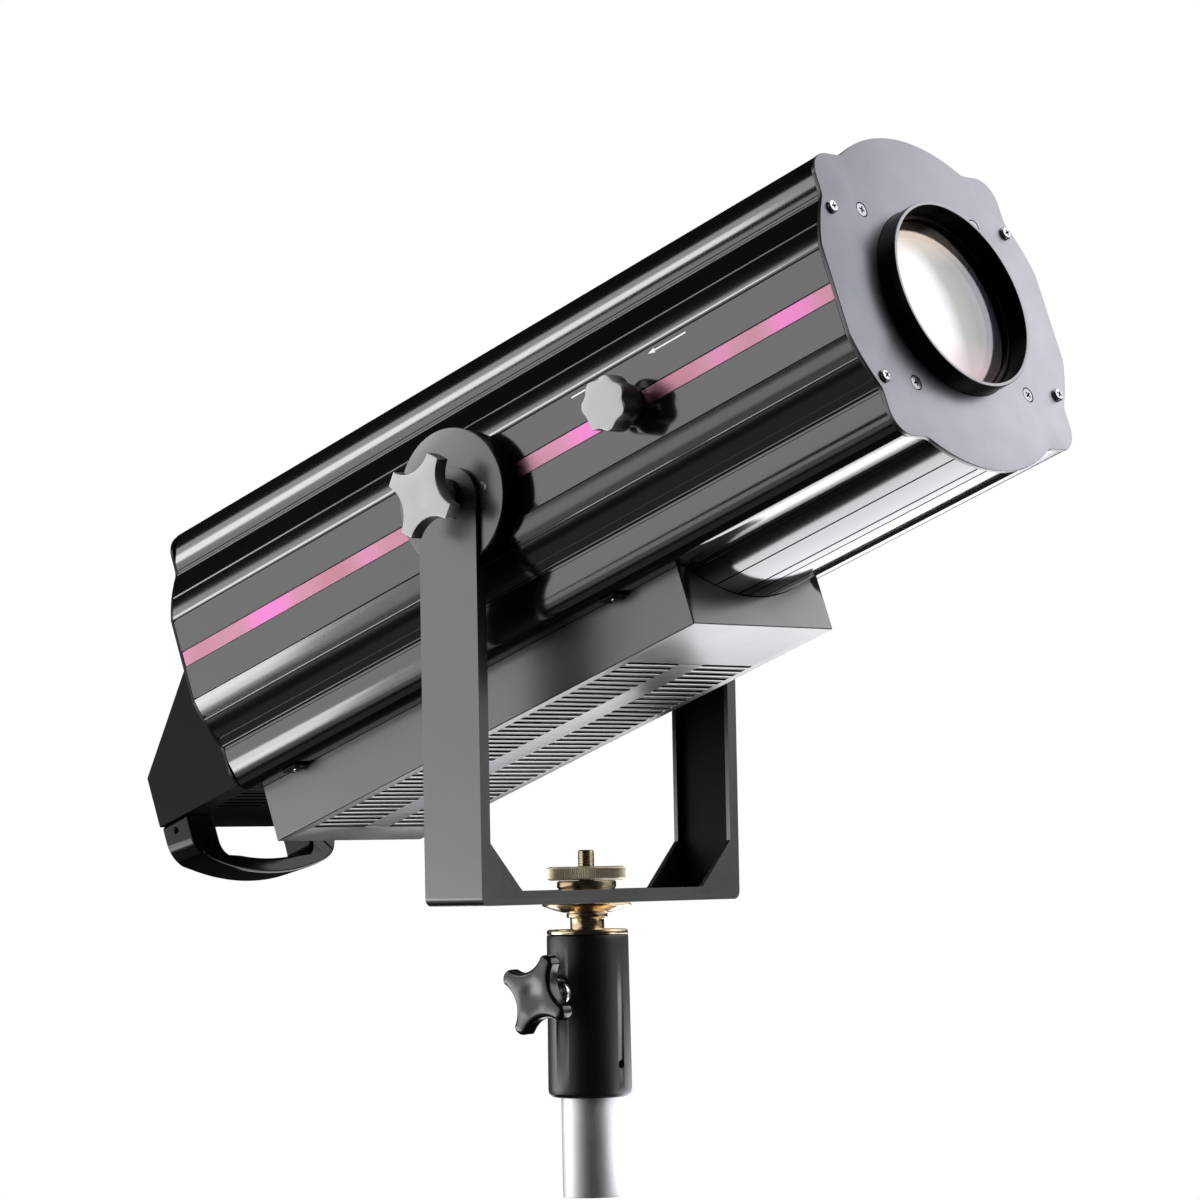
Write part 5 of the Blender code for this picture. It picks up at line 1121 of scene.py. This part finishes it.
small = [(0, 1.7 * MM), (1.0 * MM, 1.6 * MM), (1.8 * MM, 1.1 * MM), (2.3 * MM, 0.3 * MM), (2.3 * MM, 0), (0, 0)]
k = 0
for a in (-215 * MM, 60 * MM):
    for s in (-1, 1):
        at = Matrix.Translation((a, s * 68.6 * MM, z1 - t)) @ Matrix.Rotation(math.pi, 4, 'X')
        cross_head("tray_screw_%d" % (k + 1), small, at, math.radians(15 + 40 * k), None, 1.4 * MM, 1.1 * MM, 1.7 * MM,
                   mat=CHROME)
        k += 1


# ------------------------------------------------------------ rear
def slope_frame():
    top_, low_ = Vector((A_REAR - 2.3 * MM, 0, SLOPE_TOP)), Vector((COVER_BACK, 0, SLOPE_LOW))
    d = (low_ - top_).normalized()
    yy = Vector((0, -1, 0))
    m = Matrix((d, yy, d.cross(yy))).transposed().to_4x4()
    return Matrix.Translation((top_ + low_) / 2) @ m


def rear_frame():
    v_ = (SLOPE_LOW + COVER_LOW) / 2
    m = Matrix((Vector((0, -1, 0)), Vector((0, 0, 1)), Vector((-1, 0, 0)))).transposed().to_4x4()
    return Matrix.Translation((COVER_BACK, 0, v_)) @ m


SF, RF = slope_frame(), rear_frame()
a1r = A_REAR - GAP
a0r = a1r - 2.0 * MM
loops = [outline(INSET)]
for i in range(5):
    v = 44 * MM + i * 9 * MM
    half = 44 * MM if v < 70 * MM else 30 * MM
    loops.append(rounded_rect(-half, v, half, v + 4 * MM, 1.9 * MM, 5))
loops.append(rounded_rect(-60 * MM, -70 * MM, 60 * MM, 12 * MM, 6 * MM, 5))
piece("rear_plate_finish", plate(loops, a0r, a1r), SATIN, "lamp", build=SEC, replaces="rear_plate", bevel=0.35 * MM)

a, b, t = a0r - GAP, COVER_BACK, COVER_T
side = [(a, SLOPE_TOP), (b, SLOPE_LOW), (b, COVER_LOW), (a, COVER_LOW)]
kk = (SLOPE_TOP - SLOPE_LOW) / (a - b)
up = t * math.sqrt(1 + kk * kk)
inner = [(a + 5 * MM, SLOPE_TOP - up + kk * 5 * MM), (b + t, SLOPE_LOW - up + kk * t), (b + t, COVER_LOW + t),
         (a + 5 * MM, COVER_LOW + t)]
cover = piece("rear_cover_finish", plate([side], -COVER_HALF, COVER_HALF), MATT, "lamp", build=SIDE, replaces="rear_cover",
              bevel=0.7 * MM, seg=3, bevel_angle=30)
hollow = plate([inner], -COVER_HALF + t, COVER_HALF - t)
cut(cover, cutter("cover_hollow", hollow, LAMP, "lamp", build=SIDE), first=False)
cut(cover, cutter("cover_panel_window", plate([rect(-28 * MM, -52 * MM, 28 * MM, 52 * MM)], -8 * MM, 8 * MM), LAMP, "lamp",
                  build=SF), first=False)
win = plate([rect(-7 * MM, -13.2 * MM, 50 * MM, 13.2 * MM)], -8 * MM, 8 * MM)
for x in (-24 * MM, -50 * MM):
    slab(win, [circle(12.2 * MM, 48, x, 0)], -8 * MM, 8 * MM)
cut(cover, cutter("cover_rear_windows", win, LAMP, "lamp", build=RF), first=False)
vents = bmesh.new()
for i in range(9):
    for s in (-1, 1):
        ya, yb = sorted((s * 12 * MM, s * 50 * MM))
        x = -307 * MM + i * 5.5 * MM
        slab(vents, [rect(x, ya, x + 2.6 * MM, yb)], COVER_LOW - 5 * MM, COVER_LOW + 5 * MM)
cut(cover, cutter("cover_vents", vents, LAMP, "lamp"), first=False)
k = 0
for s in (-1, 1):
    for x, v in ((-333.0 * MM, -83.5 * MM),):
        at = Matrix.Translation((x, s * (COVER_HALF - 1.2 * MM), v)) @ axis_frame('+Y' if s > 0 else '-Y')
        cross_head("cover_screw_%d" % (k + 1), small, at, math.radians(10 + 29 * k), None, 1.4 * MM, 1.1 * MM, 1.7 * MM,
                   mat=SATIN)
        k += 1
for s in (-1, 1):
    at = Matrix.Translation((a0r, s * 81.8 * MM, 51.4 * MM)) @ axis_frame('-X')
    cross_head("rear_plate_screw_%d" % (1 if s < 0 else 2), small, at, math.radians(33), None, 1.4 * MM, 1.1 * MM, 1.7 * MM)

top_, ri, ih = COVER_LOW - GAP, 150 * MM, 40.7 * MM


def handle_loop(low, corner):
    half = COVER_HALF - 1.2 * MM
    out = [(half, top_)] + arc(half - corner, low + 26.2 * MM, corner, 0, -60, 14)
    ang = math.degrees(math.asin((half - corner + 4 * MM) / ri))
    out += arc(0, low + ri, ri, -90 + ang, -90, 18)
    out += [(-y_, v_) for y_, v_ in reversed(out[:-1])]
    hole = [(ih, top_)] + arc(ih - 10 * MM, -95.5 * MM, 10 * MM, 0, -62, 12)
    hole += arc(0, -107.1 * MM + ri, ri, -90 + math.degrees(math.asin(25 * MM / ri)), -90, 12)
    hole += [(-y_, v_) for y_, v_ in reversed(hole[:-1])]
    return out + hole[::-1]


piece("rear_handle_finish", plate([handle_loop(-114.6 * MM, 18.5 * MM)], 0.2 * MM, 25.0 * MM, [handle_loop(-117.6 * MM, 17.0 * MM)]),
      GLOSS, "lamp", build=Matrix.Translation((COVER_BACK, 0, 0)) @ SEC, replaces="rear_handle", bevel=2.2 * MM, seg=5,
      bevel_angle=50)

keys = [-39 * MM, -19.5 * MM, 4 * MM, 23.5 * MM]
loops = [rounded_rect(-33 * MM, -60 * MM, 33 * MM, 60 * MM, 3 * MM, 5), rect(-17 * MM, -44 * MM, 3 * MM, 28 * MM)]
loops += [circle(4.7 * MM, 40, 16 * MM, yy) for yy in keys]
piece("control_panel_finish", plate(loops, GAP, 2.3 * MM), PANEL, "lamp", build=SF, replaces="control_panel", bevel=0.4 * MM)
DISPLAY = paint("display_tint", (0.004, 0.010, 0.016), (0.008, 0.018, 0.026), 0.06, 0.02, coat=0.6)
piece("display_window_finish", plate([rect(-16.7 * MM, -43.7 * MM, 2.7 * MM, 27.7 * MM)], 0.4 * MM, 2.0 * MM), DISPLAY, "lamp",
      build=SF, replaces="display_window", bevel=0.3 * MM)
for name, yy in zip(("menu", "down", "up", "enter"), keys):
    turned("button_finish_" + name, "button_" + name, [
        (0, 4.6 * MM), (2.6 * MM, 4.6 * MM), (4.2 * MM, 3.9 * MM), (4.2 * MM, -3.0 * MM), (0, -3.0 * MM)], KEYS, "key_" + name,
        0.5 * MM, 48, build=SF @ Matrix.Translation((16 * MM, yy, 0)), frame_m=LAMP)

inlet = piece("power_inlet_finish", plate([rounded_rect(-9 * MM, -15.2 * MM, 52 * MM, 15.2 * MM, 3 * MM, 5)], GAP, 2.8 * MM),
              MOULDED, "lamp", build=RF, replaces="power_inlet", bevel=0.5 * MM)
m = inlet.modifiers.new("body", 'BOOLEAN')
m.object = cutter("inlet_body", plate([rect(-6.5 * MM, -12.8 * MM, 49.5 * MM, 12.8 * MM)], -24 * MM, 1.5 * MM), LAMP, "lamp",
                  build=RF)
m.operation = 'UNION'
pocket = plate([[(18 * MM, -9.5 * MM), (44 * MM, -9.5 * MM), (44 * MM, 4.5 * MM), (40 * MM, 9.5 * MM), (22 * MM, 9.5 * MM),
                 (18 * MM, 4.5 * MM)]], -17 * MM, 6 * MM)
slab(pocket, [rect(-4.6 * MM, -10.6 * MM, 7.4 * MM, 10.6 * MM)], -13 * MM, 6 * MM)
cut(inlet, cutter("inlet_pockets", pocket, LAMP, "lamp", build=RF), first=False)
pins = bmesh.new()
for x, yy in ((24.0 * MM, -2.5 * MM), (38.0 * MM, -2.5 * MM), (31.0 * MM, 2.0 * MM)):
    slab(pins, [rect(x - 1.0 * MM, yy - 2.0 * MM, x + 1.0 * MM, yy + 2.0 * MM)], -17.2 * MM, -4 * MM)
piece("inlet_pins", pins, CHROME, "lamp", build=RF, bevel=0.3 * MM)
key = [(-9.7 * MM, -4 * MM), (9.7 * MM, -4 * MM), (9.7 * MM, 2.2 * MM), (5 * MM, 1.3 * MM), (0, 0.9 * MM), (-5 * MM, 1.3 * MM),
       (-9.7 * MM, 2.2 * MM)]
piece("power_rocker_finish", plate([key], -5.6 * MM, 5.6 * MM), RED, "rocker",
      build=RF @ Matrix.Translation((1.4 * MM, 0, 1.2 * MM)) @ Matrix(((0, 0, 1, 0), (1, 0, 0, 0), (0, 1, 0, 0), (0, 0, 0, 1)))
      @ Matrix.Rotation(math.radians(8), 4, 'Z'), replaces="power_rocker", bevel=0.5 * MM, seg=3)
at = (-24 * MM, -50 * MM)
data = piece("data_sockets_finish", plate([rounded_rect(-63.5 * MM, -15.2 * MM, -11.0 * MM, 15.2 * MM, 3 * MM, 5)]
                                          + [circle(9.4 * MM, 48, x, 0) for x in at], GAP, 2.2 * MM), SATIN, "lamp", build=RF,
             replaces="data_sockets", bevel=0.4 * MM)
bm = bmesh.new()
for x in at:
    add(bm, lathe(soften([(11.3 * MM, 3.0 * MM), (11.3 * MM, -22 * MM), (0, -22 * MM), (0, -9 * MM), (9.4 * MM, -9 * MM),
                          (9.4 * MM, 3.0 * MM)], 0.4 * MM, 2), 64), Matrix.Translation((x, 0, 0)))
piece("data_barrels", bm, SATIN, "lamp", build=RF)
bm = bmesh.new()
for x in at:
    for j in range(3):
        an = math.radians(90 + 120 * j)
        add(bm, lathe([(0, -3 * MM), (0.9 * MM, -3.4 * MM), (1.1 * MM, -9.2 * MM), (0, -9.2 * MM)], 16),
            Matrix.Translation((x + 4.2 * MM * math.cos(an), 4.2 * MM * math.sin(an), 0)))
piece("data_pins", bm, CHROME, "lamp", build=RF)

# ------------------------------------------------------------ nodes that keep their own mesh
KEEP = {
    "tube_end_plug": MOULDED, "power_supply": PANEL, "heat_sink": ALU, "fan_frame": MOULDED, "fan_rotor": MOULDED,
    "led_module": BOARD, "optics_plate": ALU, "condenser_lens": glass("condenser_glass", (0.95, 0.96, 0.96), 0.01, 1.5),
    "guide_rod_near": STEEL, "guide_rod_far": STEEL, "focus_carriage": SATIN,
    "focus_lens": glass("focus_glass", (0.95, 0.96, 0.97), 0.01, 1.5), "focus_shaft": STEEL,
}
for name, mat in KEEP.items():
    ob = NODES[name]
    for i in range(max(1, len(ob.material_slots))):
        if not ob.material_slots:
            ob.data.materials.append(mat)
        else:
            ob.material_slots[i].material = mat

# ------------------------------------------------------------ floor, light, camera
bm = bmesh.new()
bmesh.ops.create_grid(bm, x_segments=2, y_segments=2, size=60.0)
me = bpy.data.meshes.new("floor")
bm.to_mesh(me)
bm.free()
floor = bpy.data.objects.new("floor", me)
bpy.context.scene.collection.objects.link(floor)
floor.location = (0, 0, -0.0005)
fm, ft, fp = nt("floor_white")
grain = noise(ft, coords(ft), 3.0, 4.0)
link(ft, ramp(ft, grain, [(0.3, (0.10, 0.10, 0.11)), (0.7, (0.13, 0.13, 0.14))]), fp.inputs["Base Color"])
fp.inputs["Roughness"].default_value = 0.9
shown = ft.nodes.new("ShaderNodeEmission")
shown.inputs["Color"].default_value = (1, 1, 1, 1)
shown.inputs["Strength"].default_value = 1.0
lp = ft.nodes.new("ShaderNodeLightPath")
mx = ft.nodes.new("ShaderNodeMixShader")
link(ft, lp.outputs["Is Camera Ray"], mx.inputs[0])
link(ft, fp.outputs[0], mx.inputs[1])
link(ft, shown.outputs[0], mx.inputs[2])
link(ft, mx.outputs[0], ft.nodes["Material Output"].inputs["Surface"])
me.materials.append(fm)
floor.visible_glossy = False
floor.visible_diffuse = False
floor.visible_shadow = False

world = bpy.data.worlds.new("studio")
bpy.context.scene.world = world
world.use_nodes = True
wt = world.node_tree
bg = wt.nodes["Background"]
lp = wt.nodes.new("ShaderNodeLightPath")
mixc = wt.nodes.new("ShaderNodeMix")
mixc.data_type = 'RGBA'
mixc.inputs[6].default_value = (0.012, 0.012, 0.014, 1)
mixc.inputs[7].default_value = (1.0, 1.0, 1.0, 1)
wt.links.new(lp.outputs["Is Camera Ray"], mixc.inputs[0])
wt.links.new(mixc.outputs[2], bg.inputs["Color"])
bg.inputs["Strength"].default_value = 1.0


def softbox(name, at, aim, size_x, size_y, radiance, colour=(1, 1, 1), along=(0, 0, 0)):
    """Area light whose surface shows with the given brightness, hidden from the camera itself; along is the way
    that its length runs."""
    li = bpy.data.lights.new(name, 'AREA')
    li.shape = 'RECTANGLE'
    li.size, li.size_y = size_x, size_y
    li.energy = radiance * math.pi * size_x * size_y
    li.color = colour
    ob = bpy.data.objects.new(name, li)
    bpy.context.scene.collection.objects.link(ob)
    back_ = (Vector(at) - Vector(aim)).normalized()
    if Vector(along).length > 0:
        x = (Vector(along) - back_ * back_.dot(Vector(along))).normalized()
        turn = Matrix((x, back_.cross(x), back_)).transposed().to_4x4()
    else:
        turn = (-back_).to_track_quat('-Z', 'Y').to_matrix().to_4x4()
    ob.matrix_world = Matrix.Translation(at) @ turn
    ob.visible_camera = False
    return ob


centre = Vector((0, 0, 0.42))
AXIS = Vector((math.cos(TILT), 0, math.sin(TILT)))


def toward(az, el, dist):
    """Point seen from the object at azimuth az (from +X towards +Y) and elevation el."""
    a, e = math.radians(az), math.radians(el)
    return centre + Vector((math.cos(a) * math.cos(e), math.sin(a) * math.cos(e), math.sin(e))) * dist


left = Vector((math.cos(math.radians(229)), math.sin(math.radians(229)), 0))
side_light = Vector((0, 0, 0.42))
softbox("left_low", left * 1.4 + Vector((0, 0, 0.32)), side_light, 2.4, 0.96, 1.1, along=AXIS)
softbox("left_foot", left * 1.4 + Vector((0, 0, -0.25)), side_light, 2.4, 0.18, 0.95, along=AXIS)
softbox("left_floor", left * 1.4 + Vector((0, 0, -0.42)), side_light, 2.4, 0.16, 0.35, along=AXIS)
softbox("left_high", toward(218.5, 17.5, 1.4) + AXIS * 0.08, centre, 0.62, 0.17, 3.6, (0.96, 0.97, 1.0), along=AXIS)
softbox("left_mid", toward(216, 20.5, 1.4) + AXIS * 0.14, centre, 0.95, 0.36, 1.6, (1.0, 0.97, 0.95), along=AXIS)
softbox("left_under", toward(236, -48, 1.2), centre, 1.2, 0.4, 0.10, (0.85, 0.92, 1.0))
softbox("tube_left", (-1.10, -0.69, -0.10), (0, 0, 0.0), 0.90, 0.34, 3.4)
softbox("tube_right", (0.66, 0.36, -0.08), (0, 0, 0.0), 0.28, 0.30, 1.2)
softbox("key", toward(52, 33, 2.2), centre, 4.4, 2.3, 1.8, (0.96, 0.96, 1.0))
softbox("right_back_low", toward(44, -4, 2.2), centre, 1.9, 0.5, 0.30)
softbox("glow_front", (-0.03, 0.55, -0.02), (-0.03, 0.55, 1.0), 0.60, 0.90, 3.8, (0.97, 0.95, 1.0))
softbox("overhead", (0.0, 0.0, 2.4), centre, 1.2, 1.2, 1.2)

cam_data = bpy.data.cameras.new("camera")
cam = bpy.data.objects.new("camera", cam_data)
bpy.context.scene.collection.objects.link(cam)
cam_data.sensor_width = 36.0
cam_data.lens = 4572.3 * 36.0 / 1200.0
cam_data.clip_start, cam_data.clip_end = 0.05, 200.0
right_v, up_v, fwd_v = Vector((0.757, 0.6532, -0.0189)), Vector((0.0516, -0.031, 0.9982)), Vector((-0.6514, 0.7566, 0.0572))
rot = Matrix((right_v, up_v, -fwd_v)).transposed()
cam.matrix_world = Matrix.Translation((1.8015, -2.0752, 0.0243 + 0.175)) @ rot.to_4x4()
bpy.context.scene.camera = cam
bpy.context.scene.view_settings.view_transform = 'Standard'
